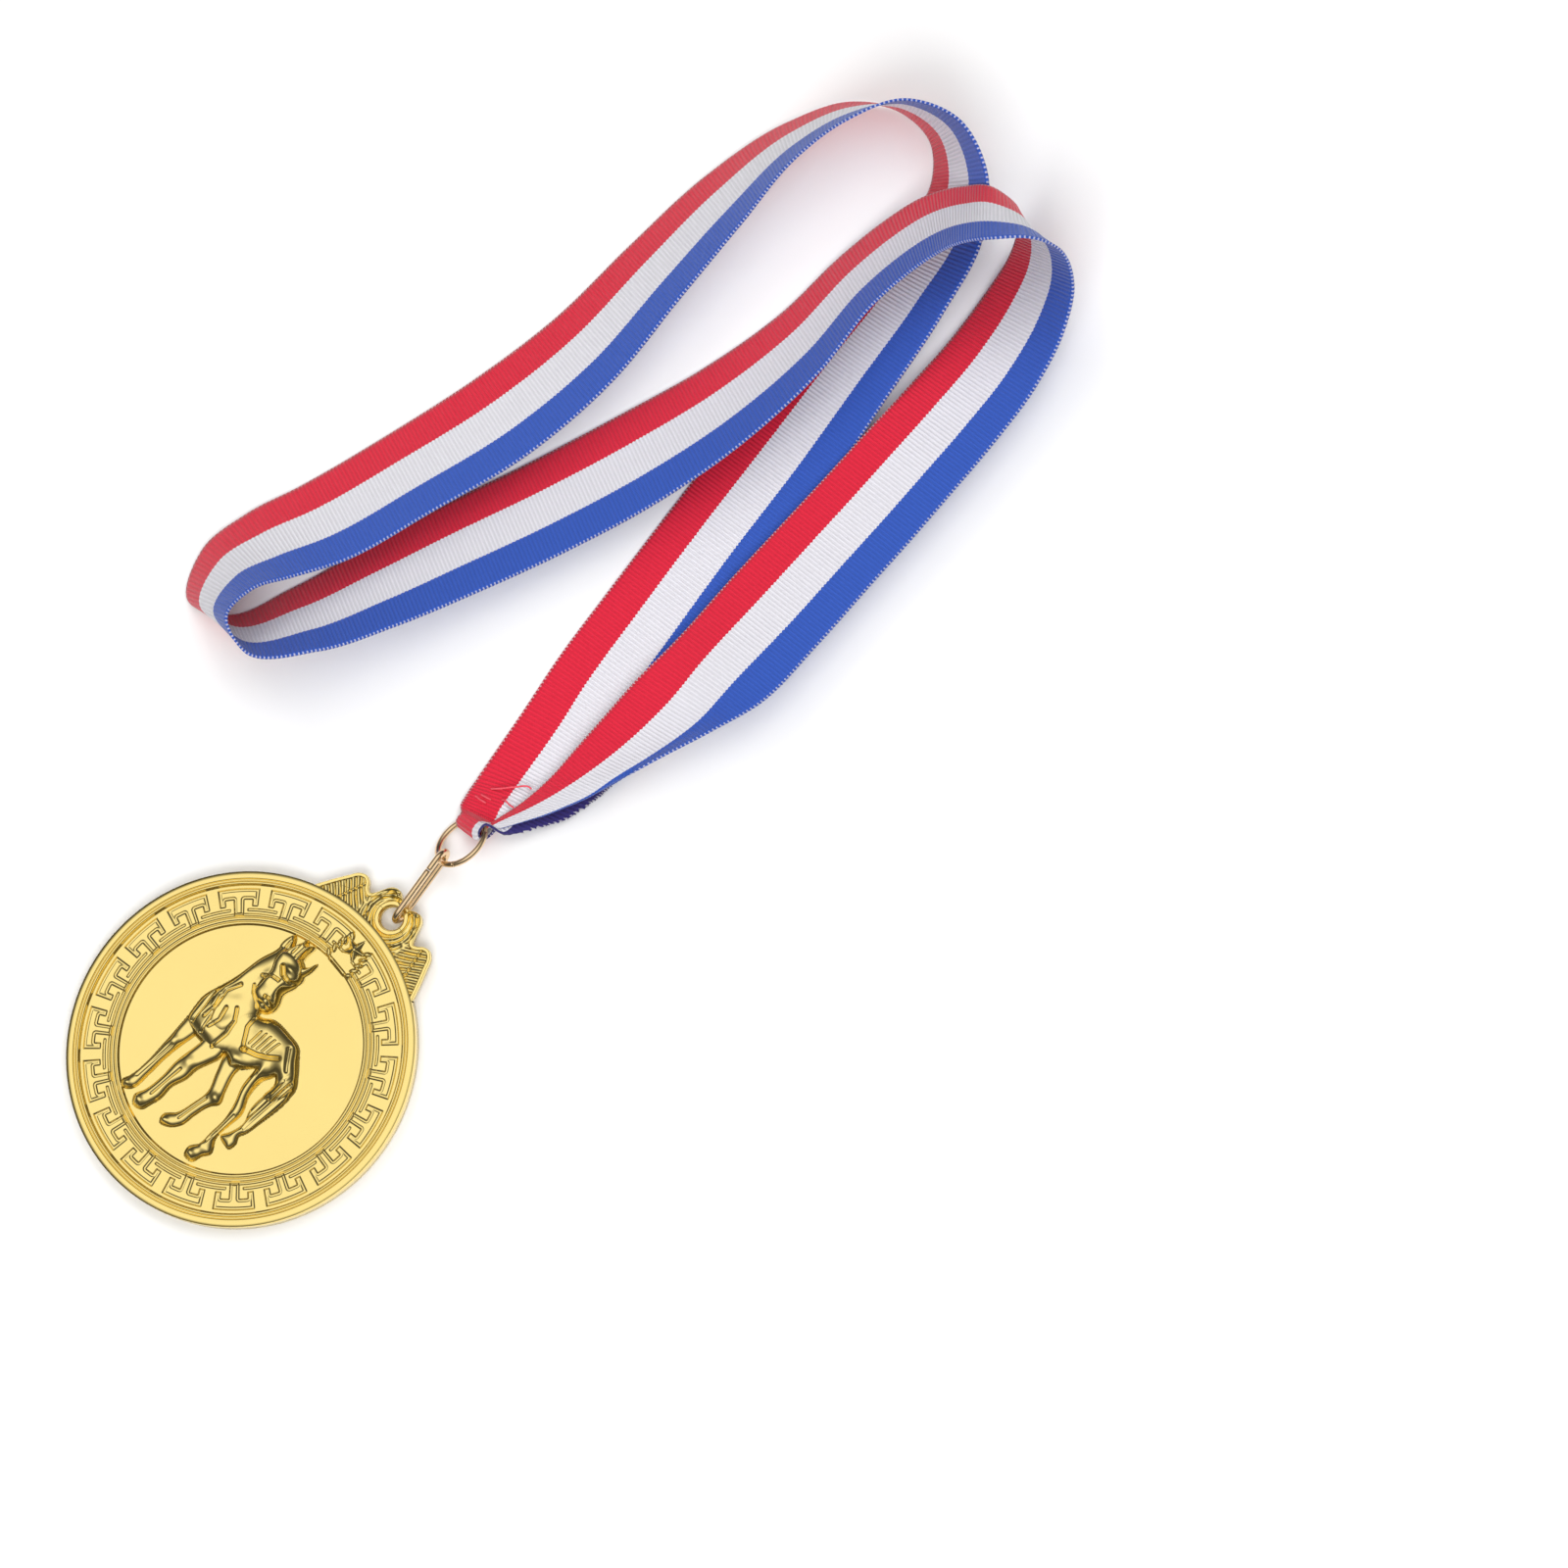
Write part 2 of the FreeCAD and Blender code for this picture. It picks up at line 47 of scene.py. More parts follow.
# ---------------------------------------------------------------------------------------------
# Helpers
# ---------------------------------------------------------------------------------------------
def add_mesh(name, points, faces, uv=None, smooth=True):
    """A mesh object from points in millimetres.  uv is one pair per vertex."""
    mesh = bpy.data.meshes.new(name)
    mesh.from_pydata((np.asarray(points) * MM).tolist(), [], faces)
    if uv is not None:
        layer = mesh.uv_layers.new(name="UVMap")
        loops = np.empty(len(mesh.loops), dtype=np.int32)
        mesh.loops.foreach_get("vertex_index", loops)
        layer.data.foreach_set("uv", np.asarray(uv, dtype=np.float32)[loops].ravel())
    mesh.polygons.foreach_set("use_smooth", [smooth] * len(mesh.polygons))
    mesh.update()
    item = bpy.data.objects.new(name, mesh)
    bpy.context.scene.collection.objects.link(item)
    return item


def spline(values, at):
    """Smooth curve through the rows of values, one row per whole number, read at the places 'at'."""
    values = np.asarray(values, dtype=float)
    count = len(values)
    index = np.clip(np.floor(at).astype(int), 0, count - 2)
    t = (at - index)[:, None]
    p0 = values[np.maximum(index - 1, 0)]
    p1 = values[index]
    p2 = values[index + 1]
    p3 = values[np.minimum(index + 2, count - 1)]
    d01 = np.linalg.norm(p1 - p0, axis=1)[:, None]
    d12 = np.linalg.norm(p2 - p1, axis=1)[:, None] + 1e-9
    d23 = np.linalg.norm(p3 - p2, axis=1)[:, None]
    before = np.where(d01 > 1e-9, (p1 - p0) / np.maximum(d01, 1e-9), (p2 - p1) / d12)
    after = np.where(d23 > 1e-9, (p3 - p2) / np.maximum(d23, 1e-9), (p2 - p1) / d12)
    middle = (p2 - p1) / d12
    m1 = (before * d12 + middle * d01) / (d01 + d12) * d12
    m2 = (middle * d23 + after * d12) / (d12 + d23) * d12
    t2 = t * t
    t3 = t2 * t
    return (2 * t3 - 3 * t2 + 1) * p1 + (t3 - 2 * t2 + t) * m1 + (3 * t2 - 2 * t3) * p2 + (t3 - t2) * m2


def normalised(vectors):
    return vectors / np.maximum(np.linalg.norm(vectors, axis=-1, keepdims=True), 1e-12)


def grid_faces(rows, columns, offset=0, flip=False, wrap=False):
    """Quads of a grid of rows x columns points; wrap joins the last row to the first."""
    last = rows if wrap else rows - 1
    r = np.arange(last)[:, None]
    c = np.arange(columns - 1)[None, :]
    a = r * columns + c
    b = ((r + 1) % rows) * columns + c
    quads = np.stack([a, a + 1, b + 1, b], axis=-1).reshape(-1, 4) + offset
    if flip:
        quads = quads[:, ::-1]
    return quads.tolist()


def tube(name, path, radius, sides=20):
    """Round wire along an open path in millimetres, its rings carried along without twist."""
    path = np.asarray(path, dtype=float)
    count = len(path)
    tangent = normalised(np.gradient(path, axis=0))
    side = np.cross(tangent[0], [0.3, 0.2, 1.0])
    side = side / np.linalg.norm(side)
    rings = []
    angles = np.linspace(0, 2 * math.pi, sides, endpoint=False)
    for i in range(count):
        side = side - tangent[i] * np.dot(side, tangent[i])
        side = side / np.linalg.norm(side)
        other = np.cross(tangent[i], side)
        circle = np.cos(angles)[:, None] * side + np.sin(angles)[:, None] * other
        rings.append(path[i] + circle * radius)
    points = np.concatenate(rings)
    faces = []
    for i in range(count - 1):
        j = i + 1
        for k in range(sides):
            m = (k + 1) % sides
            faces.append((i * sides + k, i * sides + m, j * sides + m, j * sides + k))
    faces.append(tuple(range(sides))[::-1])
    faces.append(tuple((count - 1) * sides + k for k in range(sides)))
    return add_mesh(name, points, faces)


# ---------------------------------------------------------------------------------------------
# Materials
# ---------------------------------------------------------------------------------------------
def new_material(name):
    material = bpy.data.materials.new(name)
    material.use_nodes = True
    tree = material.node_tree
    shader = tree.nodes["Principled BSDF"]
    return material, tree, shader


def math_node(tree, operation, first, second=None, third=None, clamp=False):
    """A Math node; each operand is a socket or a number."""
    node = tree.nodes.new("ShaderNodeMath")
    node.operation = operation
    node.use_clamp = clamp
    for slot_number, value in enumerate((first, second, third)):
        if value is None:
            continue
        if isinstance(value, (int, float)):
            node.inputs[slot_number].default_value = value
        else:
            tree.links.new(value, node.inputs[slot_number])
    return node.outputs[0]


def mix_colour(tree, factor, first, second):
    """A colour mix; each colour is a socket or an RGB triple."""
    node = tree.nodes.new("ShaderNodeMix")
    node.data_type = "RGBA"
    tree.links.new(factor, node.inputs["Factor"])
    for name, value in (("A", first), ("B", second)):
        socket = [s for s in node.inputs if s.name == name and s.type == "RGBA"][0]
        if isinstance(value, tuple):
            socket.default_value = (*value, 1.0)
        else:
            tree.links.new(value, socket)
    return [s for s in node.outputs if s.type == "RGBA"][0]


def noise(tree, scale, detail=3.0, vector=None):
    node = tree.nodes.new("ShaderNodeTexNoise")
    node.inputs["Scale"].default_value = scale
    node.inputs["Detail"].default_value = detail
    if vector is not None:
        tree.links.new(vector, node.inputs["Vector"])
    return node.outputs["Fac"]


def bump(tree, shader, height, strength, distance):
    node = tree.nodes.new("ShaderNodeBump")
    node.inputs["Strength"].default_value = strength
    node.inputs["Distance"].default_value = distance
    tree.links.new(height, node.inputs["Height"])
    tree.links.new(node.outputs["Normal"], shader.inputs["Normal"])


def object_coordinates(tree):
    return tree.nodes.new("ShaderNodeTexCoord").outputs["Object"]


def gold_material(name, colour, roughness, ripple):
    """Plated metal: slightly uneven gloss and tone, and fine orange peel."""
    material, tree, shader = new_material(name)
    where = object_coordinates(tree)
    shader.inputs["Metallic"].default_value = 1.0
    tone = noise(tree, 60.0, 3.0, where)
    base = mix_colour(tree, tone, colour, tuple(c * 0.93 for c in colour))
    tree.links.new(base, shader.inputs["Base Color"])
    worn = noise(tree, 900.0, 4.0, where)
    gloss = math_node(tree, "MULTIPLY_ADD", worn, 0.10, roughness - 0.05)
    tree.links.new(gloss, shader.inputs["Roughness"])
    bump(tree, shader, noise(tree, 350.0, 2.0, where), ripple, 0.00012)
    return material


RIB_PITCH = 0.74        # mm from one woven rib to the next
RIBBON_WIDTH = 22.0
RIBBON_HALF_THICKNESS = 0.21
TUCK = (24.0, 46.0)     # mm along, where the blue edge is folded under at the first end
TUCK_SHADE_FADE = 0.12        # how fast the navy painted shade on the blue stripe fades, per mm
RED = (0.83, 0.020, 0.055)
WHITE = (0.88, 0.865, 0.93)
BLUE = (0.040, 0.115, 0.56)


def ribbon_material():
    """Ribbed woven ribbon.  UV.x is the place across it, 0 at the red edge; UV.y is mm along it."""
    material, tree, shader = new_material("grosgrain_ribbon")
    split = tree.nodes.new("ShaderNodeSeparateXYZ")
    tree.links.new(tree.nodes.new("ShaderNodeUVMap").outputs["UV"], split.inputs[0])
    across, along = split.outputs["X"], split.outputs["Y"]
    where = object_coordinates(tree)

    phase = math_node(tree, "MULTIPLY", along, 2 * math.pi / RIB_PITCH)
    wave = math_node(tree, "SINE", phase)
    rib = math_node(tree, "MULTIPLY_ADD", wave, 0.5, 0.5)
    ragged = math_node(tree, "MULTIPLY_ADD", wave, 0.0045, across)
    jitter = math_node(tree, "MULTIPLY_ADD", noise(tree, 2500.0, 2.0, where), 0.010, -0.005)
    place = math_node(tree, "ADD", ragged, jitter)

    past_red = math_node(tree, "GREATER_THAN", place, 0.322)
    past_white = math_node(tree, "GREATER_THAN", place, 0.682)
    # painted shade: near the first end the blue stripe is darkened to navy, standing in for the shade on
    # the folded-under blue edge; it fades out by TUCK[1]
    tuck_shade = math_node(tree, "MULTIPLY_ADD", along, -TUCK_SHADE_FADE, TUCK_SHADE_FADE * TUCK[1], clamp=True)
    blue = mix_colour(tree, tuck_shade, BLUE, (0.045, 0.035, 0.20))
    colour = mix_colour(tree, past_red, RED, WHITE)
    colour = mix_colour(tree, past_white, colour, blue)

    # pale knots of the edge yarn, between the ribs on both selvedges
    from_edge = math_node(tree, "ABSOLUTE", math_node(tree, "SUBTRACT", across, 0.5))
    selvedge = math_node(tree, "GREATER_THAN", from_edge, 0.487)
    knot = math_node(tree, "MULTIPLY", selvedge, math_node(tree, "GREATER_THAN", wave, 0.35))
    knot = math_node(tree, "MULTIPLY", knot, 0.55)
    colour = mix_colour(tree, knot, colour, (0.85, 0.80, 0.84))

    # painted shade: the ribs' valleys are darkened in colour, standing in for the shade in the recesses
    # between ribs
    valley_painted_shade = math_node(tree, "MULTIPLY", math_node(tree, "SUBTRACT", 1.0, rib), 0.27)
    valley_shade_tone = tree.nodes.new("ShaderNodeHueSaturation")
    valley_shade_tone.inputs["Value"].default_value = 0.45
    tree.links.new(colour, valley_shade_tone.inputs["Color"])
    colour = mix_colour(tree, valley_painted_shade, colour, valley_shade_tone.outputs["Color"])
    tree.links.new(colour, shader.inputs["Base Color"])

    thread = math_node(tree, "SINE", math_node(tree, "MULTIPLY", across, 2 * math.pi * RIBBON_WIDTH / 0.32))
    cloth = math_node(tree, "MULTIPLY_ADD", thread, 0.10, rib)
    cloth = math_node(tree, "MULTIPLY_ADD", noise(tree, 3500.0, 3.0, where), 0.30, cloth)
    bump(tree, shader, cloth, 0.65, 0.00030)
    shader.inputs["Roughness"].default_value = 0.62
    shader.inputs["Sheen Weight"].default_value = 0.25
    shader.inputs["Sheen Roughness"].default_value = 0.4
    shader.inputs["Specular IOR Level"].default_value = 0.35
    return material


def thread_material():
    material, tree, shader = new_material("red_thread")
    where = object_coordinates(tree)
    colour = mix_colour(tree, noise(tree, 1500.0, 2.0, where), (0.80, 0.02, 0.06), (0.95, 0.18, 0.22))
    tree.links.new(colour, shader.inputs["Base Color"])
    shader.inputs["Roughness"].default_value = 0.6
    bump(tree, shader, noise(tree, 5000.0, 2.0, where), 0.4, 0.0001)
    return material


MEDAL_GOLD = gold_material("medal_gold", (1.0, 0.785, 0.285), 0.12, 0.07)
WIRE_GOLD = gold_material("wire_gold", (0.90, 0.66, 0.40), 0.22, 0.35)
RIBBON_CLOTH = ribbon_material()
THREAD = thread_material()


# ---------------------------------------------------------------------------------------------
# Ring and link have the CAD parts' numbers.  The fold turns about the same line as the CAD one,
# and its cloth is fuller.
# ---------------------------------------------------------------------------------------------
RING_CENTRE = np.array([-2.15, 54.5, 3.8])
RING_TILT = math.radians(36.0)
RING_RADIUS = 5.1
RING_WIRE = 0.55
LINK_WIRE = 0.6
LINK_BEND = 1.85
LINK_SEAM_GAP = 0.08
WIRE_SIDES = 24
RING_ALONG = np.array([0.0, 1.0, 0.0])
RING_ACROSS = np.array([math.cos(RING_TILT), 0.0, math.sin(RING_TILT)])
RING_NORMAL = np.array([-math.sin(RING_TILT), 0.0, math.cos(RING_TILT)])
FOLD_ANGLE = math.radians(-8.0)
FOLD_OUT = RING_ALONG * math.cos(FOLD_ANGLE) + RING_ACROSS * math.sin(FOLD_ANGLE)
FOLD_SIDE = RING_ACROSS * math.cos(FOLD_ANGLE) - RING_ALONG * math.sin(FOLD_ANGLE)
FOLD_CENTRE = RING_CENTRE + FOLD_OUT * (RING_RADIUS - 0.6)


def make_ring():
    """One turn of wire, cut through at 133 degrees from the ribbon's side."""
    gap = math.radians(1.0)
    start = math.radians(133.0)
    turns = np.linspace(start + gap, start + 2 * math.pi - gap, 150)
    spokes = [math.cos(t) * RING_ALONG + math.sin(t) * RING_ACROSS for t in turns]
    path = [RING_CENTRE + RING_RADIUS * spoke for spoke in spokes]
    return tube("jump_ring_wire", path, RING_WIRE, WIRE_SIDES)


def make_link():
    """Stadium of wire on edge, from the eye to the ring, with its butt joint on the upper side."""
    start = np.array([0.7, 36.3, 2.62])
    end = RING_CENTRE - RING_ALONG * RING_RADIUS
    run = end - start
    reach = np.linalg.norm(run)
    forward = run / reach
    side = np.cross(forward, [0.0, 0.0, 1.0])
    side = side / np.linalg.norm(side)
    up = np.cross(side, forward)
    bend = LINK_BEND
    seam = reach - 2.5
    path = []
    for x in np.linspace(seam + LINK_SEAM_GAP, reach, 8):
        path.append((x, bend))
    for angle in np.linspace(90, -90, 30)[1:-1]:
        path.append((reach + bend * math.cos(math.radians(angle)), bend * math.sin(math.radians(angle))))
    for x in np.linspace(reach, bend, 24):
        path.append((x, -bend))
    for angle in np.linspace(270, 90, 30)[1:-1]:
        path.append((bend + bend * math.cos(math.radians(angle)), bend * math.sin(math.radians(angle))))
    for x in np.linspace(bend, seam - LINK_SEAM_GAP, 20):
        path.append((x, bend))
    world = [start + forward * x + up * y for x, y in path]
    return tube("oval_link_wire", world, LINK_WIRE, WIRE_SIDES)


ring = make_ring()
ring.data.materials.append(WIRE_GOLD)
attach(ring, "ring")
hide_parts("jump_ring")

link = make_link()
link.data.materials.append(WIRE_GOLD)
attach(link, "link")
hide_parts("oval_link")


# ---------------------------------------------------------------------------------------------
# Ribbon
# ---------------------------------------------------------------------------------------------
def fold_point(side, out, rise):
    """A point in the sewn fold: millimetres along the hinge line, away from the ring, and up."""
    return tuple(FOLD_CENTRE + FOLD_SIDE * side + FOLD_OUT * out + RING_NORMAL * rise)


def fold_row(*places):
    """The four points of a gathered station in the fold."""
    return [fold_point(*place) for place in places]


# Plain stations hold (red edge, blue edge).  Gathered ones hold four points: red edge, red and
# white border, white and blue border, blue edge.
LOWER_GATHER = [
    [(-8.0, 70.0, 0.35), (-4.5, 71.0, 0.4), (-0.5, 72.0, 0.4), (1.5, 72.5, 0.4)],
    [(-6.4, 64.5, 0.5), (-3.5, 65.2, 0.6), (-0.5, 66.0, 0.7), (1.8, 66.6, 0.8)],
    fold_row((-2.9, 2.0, -1.4), (-0.4, 2.0, -1.4), (2.0, 2.0, -1.4), (2.9, 2.0, -1.4)),
    fold_row((-3.1, 0.0, -1.4), (1.4, 0.0, -1.4), (2.8, 0.0, -1.4), (3.0, 0.0, -1.4)),
    fold_row((-3.4, -1.7, -1.2), (1.9, -1.5, -1.1), (3.0, -1.3, -1.0), (3.1, -1.2, -1.0)),
    fold_row((-3.8, -2.7, 0.1), (2.1, -2.5, 0.0), (3.1, -1.8, 0.0), (3.2, -1.8, 0.0)),
    fold_row((-3.9, -2.1, 1.2), (2.0, -1.8, 1.3), (3.2, -1.3, 1.1), (3.3, -1.3, 1.0)),
    fold_row((-3.9, -0.5, 1.6), (2.0, -0.2, 1.7), (3.2, 0.1, 1.5), (3.3, 0.2, 1.3)),
    [(-7.7, 58.3, 2.1), (-1.0, 60.9, 3.8), (1.8, 61.5, 3.9), (2.2, 61.5, 3.5)],
    [(-8.8, 60.4, 1.6), (-2.3, 63.7, 3.0), (1.6, 64.8, 3.0), (4.2, 65.9, 2.6)],
    [(-9.9, 63.5, 1.1), (-3.5, 67.2, 2.1), (1.7, 69.0, 1.8), (6.4, 71.0, 1.6)],
    [(-11.3, 68.0, 0.8), (-4.6, 70.5, 1.4), (2.2, 73.4, 1.2), (7.1, 76.6, 1.2)],
    [(-14.1, 77.6, 0.5), (-7.3, 80.0, 0.7), (0.8, 82.2, 0.8), (6.9, 83.6, 1.0)],
]
STRANDS = [
    ((-17.5, 89.0, 0.5), (4.0, 94.0, 1.2)),
    ((-21.0, 104.0, 0.5), (0.3, 108.5, 1.8)),
    ((-25.0, 122.0, 0.5), (-4.0, 126.5, 2.8)),
    ((-29.0, 141.0, 0.5), (-8.0, 145.5, 3.6)),
    ((-32.5, 160.0, 0.5), (-12.4, 164.0, 6.2)),
    ((-35.0, 177.0, 0.5), (-16.1, 181.5, 10.6)),
    ((-36.8, 189.5, 0.5), (-21.0, 196.0, 14.2)),
    ((-40.2, 196.8, 0.5), (-29.0, 204.3, 17.6)),
    ((-46.0, 201.0, 0.5), (-38.5, 206.5, 20.6)),
    ((-54.0, 200.5, 0.8), (-47.5, 201.8, 21.8)),
    ((-61.3, 195.0, 1.2), (-52.2, 191.3, 21.2)),
    ((-66.5, 183.5, 1.2), (-53.8, 180.5, 19.2)),
    ((-69.0, 166.0, 0.9), (-52.5, 165.2, 15.4)),
    ((-68.5, 147.5, 0.6), (-50.3, 148.3, 12.9)),
    ((-67.3, 128.5, 0.5), (-47.6, 128.7, 10.2)),
    ((-68.5, 110.5, 0.5), (-48.2, 108.5, 8.6)),
    ((-71.3, 92.0, 0.5), (-51.6, 89.0, 9.3)),
    ((-75.0, 73.0, 0.5), (-55.4, 70.2, 10.4)),
    ((-77.6, 62.5, 0.8), (-58.4, 62.0, 12.8)),
    ((-77.8, 52.0, 1.2), (-60.3, 55.3, 16.2)),
    ((-72.2, 44.2, 1.0), (-58.4, 48.6, 18.8)),
    ((-65.4, 47.8, 0.5), (-51.7, 47.2, 17.6)),
    ((-61.0, 60.0, 0.5), (-44.0, 57.3, 13.8)),
    ((-57.7, 75.0, 0.5), (-38.9, 70.8, 11.0)),
    ((-54.3, 90.0, 0.5), (-34.5, 85.2, 9.2)),
    ((-49.5, 107.5, 0.5), (-29.5, 102.7, 8.2)),
    ((-45.0, 126.0, 0.5), (-25.0, 121.5, 8.6)),
    ((-41.2, 143.5, 0.5), (-22.2, 140.5, 11.0)),
    ((-39.5, 160.0, 0.7), (-22.0, 158.5, 13.8)),
    ((-39.9, 175.5, 2.0), (-24.0, 173.5, 16.8)),
    ((-38.9, 184.5, 4.0), (-23.3, 181.0, 19.2)),
    ((-36.4, 192.5, 7.5), (-21.5, 187.0, 22.6)),
    ((-31.0, 199.2, 13.2), (-18.0, 192.0, 28.2)),
    ((-25.1, 203.2, 17.9), (-13.2, 196.8, 32.2)),
    ((-21.0, 204.2, 15.4), (-9.4, 201.4, 31.6)),
    ((-19.2, 201.8, 9.2), (-5.8, 204.4, 25.6)),
    ((-18.1, 197.4, 4.0), (-1.9, 202.5, 18.0)),
    ((-16.7, 190.6, 1.8), (1.9, 195.7, 12.4)),
    ((-14.4, 181.1, 2.0), (5.4, 185.7, 9.8)),
    ((-11.9, 168.1, 4.0), (8.3, 172.0, 9.0)),
    ((-10.0, 157.1, 5.7), (10.1, 161.0, 9.0)),
    ((-8.8, 147.1, 5.5), (11.6, 151.0, 8.8)),
    ((-7.7, 137.1, 5.2), (12.9, 141.0, 8.6)),
    ((-6.0, 122.1, 5.0), (15.0, 126.1, 8.6)),
    ((-4.1, 107.2, 4.6), (16.4, 111.6, 9.0)),
]
UPPER_GATHER = [
    [(-3.3, 97.0, 4.6), (3.9, 99.0, 5.2), (10.7, 101.0, 6.6), (14.2, 101.8, 8.4)],
    [(-1.9, 87.5, 4.6), (4.6, 89.0, 5.4), (9.9, 90.6, 6.8), (11.4, 91.0, 8.0)],
    [(-0.9, 80.5, 4.5), (4.3, 81.5, 5.4), (8.5, 83.0, 6.6), (8.7, 81.8, 5.6)],
    [(-0.1, 75.0, 4.3), (3.6, 76.0, 5.2), (7.6, 77.6, 6.0), (7.0, 76.6, 4.6)],
    [(0.1, 70.0, 4.2), (2.7, 71.2, 5.0), (6.0, 73.0, 5.4), (5.4, 72.4, 4.0)],
    [(-0.1, 66.0, 4.1), (1.6, 67.0, 4.8), (4.4, 69.0, 4.9), (4.0, 68.6, 3.8)],
    [(-0.6, 62.4, 4.3), (0.4, 63.2, 4.7), (2.6, 65.2, 4.6), (2.2, 65.0, 3.9)],
    [(-0.9, 59.4, 4.7), (-0.5, 59.9, 4.8), (0.9, 61.6, 4.5), (0.7, 61.4, 4.1)],
]


def four_lines():
    """Control lines of the ribbon: red edge, both colour borders, blue edge."""
    rows = [list(station) for station in LOWER_GATHER]
    for red, blue in STRANDS:
        red, blue = np.array(red), np.array(blue)
        rows.append([red, red + (blue - red) * 0.32, red + (blue - red) * 0.68, blue])
    rows += [list(station) for station in UPPER_GATHER]
    return np.array(rows, dtype=float)


def make_ribbon():
    lines = four_lines()
    step = 0.19
    coarse = np.linspace(0, len(lines) - 1, 6000)
    middle = (spline(lines[:, 1], coarse) + spline(lines[:, 2], coarse)) / 2
    run = np.concatenate([[0], np.cumsum(np.linalg.norm(np.diff(middle, axis=0), axis=1))])
    count = int(run[-1] / step)
    length = np.linspace(0, run[-1], count)
    at = np.interp(length, run, coarse)
    control = np.stack([spline(lines[:, k], at) for k in range(4)], axis=1)

    # across the ribbon: a smooth curve through the four control points
    places = np.array([0.0, 0.32, 0.68, 1.0])
    spans = [np.linspace(a, b, 9)[1:] for a, b in zip(places[:-1], places[1:])]
    share = np.concatenate([[0.0]] + spans)
    gaps = np.diff(places)
    slopes = np.diff(control, axis=1) / gaps[None, :, None]
    tangents = np.empty_like(control)
    tangents[:, 0] = slopes[:, 0]
    tangents[:, 3] = slopes[:, 2]
    tangents[:, 1] = (slopes[:, 0] * gaps[1] + slopes[:, 1] * gaps[0]) / (gaps[0] + gaps[1])
    tangents[:, 2] = (slopes[:, 1] * gaps[2] + slopes[:, 2] * gaps[1]) / (gaps[1] + gaps[2])
    columns = []
    for s in share:
        k = min(int(np.searchsorted(places, s, side="right")) - 1, 2)
        t = (s - places[k]) / gaps[k]
        h00, h10 = 2 * t ** 3 - 3 * t ** 2 + 1, t ** 3 - 2 * t ** 2 + t
        h01, h11 = 3 * t ** 2 - 2 * t ** 3, t ** 3 - t ** 2
        columns.append(h00 * control[:, k] + h10 * gaps[k] * tangents[:, k]
                       + h01 * control[:, k + 1] + h11 * gaps[k] * tangents[:, k + 1])
    surface = np.stack(columns, axis=1)

    # scalloped selvedges, frayed where the blue edge is folded under
    fray = RNG.uniform(0.0, 0.6, count)[:, None] * ((length > TUCK[0]) & (length < TUCK[1]))[:, None]
    outward = normalised(surface[:, 0] - surface[:, 1])
    scallop = 0.13 * np.abs(np.sin(math.pi * length / RIB_PITCH))[:, None]
    surface[:, 0] += outward * scallop
    outward = normalised(surface[:, -1] - surface[:, -2])
    surface[:, -1] += outward * (scallop + fray)

    rows, wide = surface.shape[:2]
    along = np.gradient(surface, axis=0)
    over = np.gradient(surface, axis=1)
    normal = normalised(np.cross(over, along))
    top = surface + normal * RIBBON_HALF_THICKNESS
    bottom = surface - normal * RIBBON_HALF_THICKNESS
    points = np.concatenate([top.reshape(-1, 3), bottom.reshape(-1, 3)])
    total = rows * wide
    faces = grid_faces(rows, wide) + grid_faces(rows, wide, total, flip=True)
    for i in range(rows - 1):
        a, b = i * wide, (i + 1) * wide
        faces.append((a, b, b + total, a + total))
        a, b = a + wide - 1, b + wide - 1
        faces.append((b, a, a + total, b + total))
    for j in range(wide - 1):
        faces.append((j + 1, j, j + total, j + 1 + total))
        a = (rows - 1) * wide + j
        faces.append((a, a + 1, a + 1 + total, a + total))
    uv = np.stack(np.broadcast_arrays(share[None, :], length[:, None]), axis=-1).reshape(-1, 2)
    item = add_mesh("neck_ribbon", points, faces, np.concatenate([uv, uv]))
    print("ribbon length %.1f mm" % run[-1])
    return item


ribbon = make_ribbon()
ribbon.data.materials.append(RIBBON_CLOTH)
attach(ribbon, "ribbon")
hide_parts("ribbon_strand_1", "ribbon_bend_1", "ribbon_strand_2", "ribbon_bend_2",
            "ribbon_strand_3", "ribbon_bend_3", "ribbon_strand_4", "ribbon_sewn_end")


# Red sewing thread: loose tails and stitches on the gather, mm
THREADS = [
    [(-6.6, 64.6, 2.1), (-5.2, 66.0, 2.9), (-3.4, 68.4, 3.2), (-1.9, 70.1, 3.0), (-1.4, 70.2, 2.7)],
    [(-3.4, 64.9, 3.0), (-2.6, 65.3, 3.7), (-1.4, 65.4, 4.3), (-0.2, 65.7, 5.0)],
    [(-7.0, 62.6, 2.0), (-6.0, 62.9, 2.6), (-4.8, 63.4, 2.8)],
    [(-7.6, 61.6, 1.9), (-6.2, 61.9, 2.6), (-4.9, 62.3, 3.1)],
]
THREAD_RADIUS = 0.17
for number, line in enumerate(THREADS):
    places = np.linspace(0, len(line) - 1, 10 * len(line))
    piece = tube("sewing_thread_%d" % number, spline(np.array(line), places), THREAD_RADIUS, 8)
    piece.data.materials.append(THREAD)
    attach(piece, "ribbon")
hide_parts("bar_tack_thread")


# ---------------------------------------------------------------------------------------------
# Medallion: a height for every point of the disc and of the winged plate
# ---------------------------------------------------------------------------------------------
DISC_RADIUS = 32.5
FIELD_GRID_RADIUS = 22.4
EDGE_START = 31.4
RIM_TOP = 3.6
FIELD = 2.5
BAND = 2.85
PLATE_LOW = 1.9
PLATE_TOP = 3.2
EYE = (0.0, 36.0)
EYE_RADIUS = 2.15
# Raised lines inside the keys: radius and half width
BAND_LINES = ((23.15, 0.12), (23.90, 0.12), (24.6, 0.10))
KEY_RADIUS = 27.6
KEY_ANGLES = [90 + side * (12.65 + 19.7 * k) for side in (1, -1) for k in range(9)]
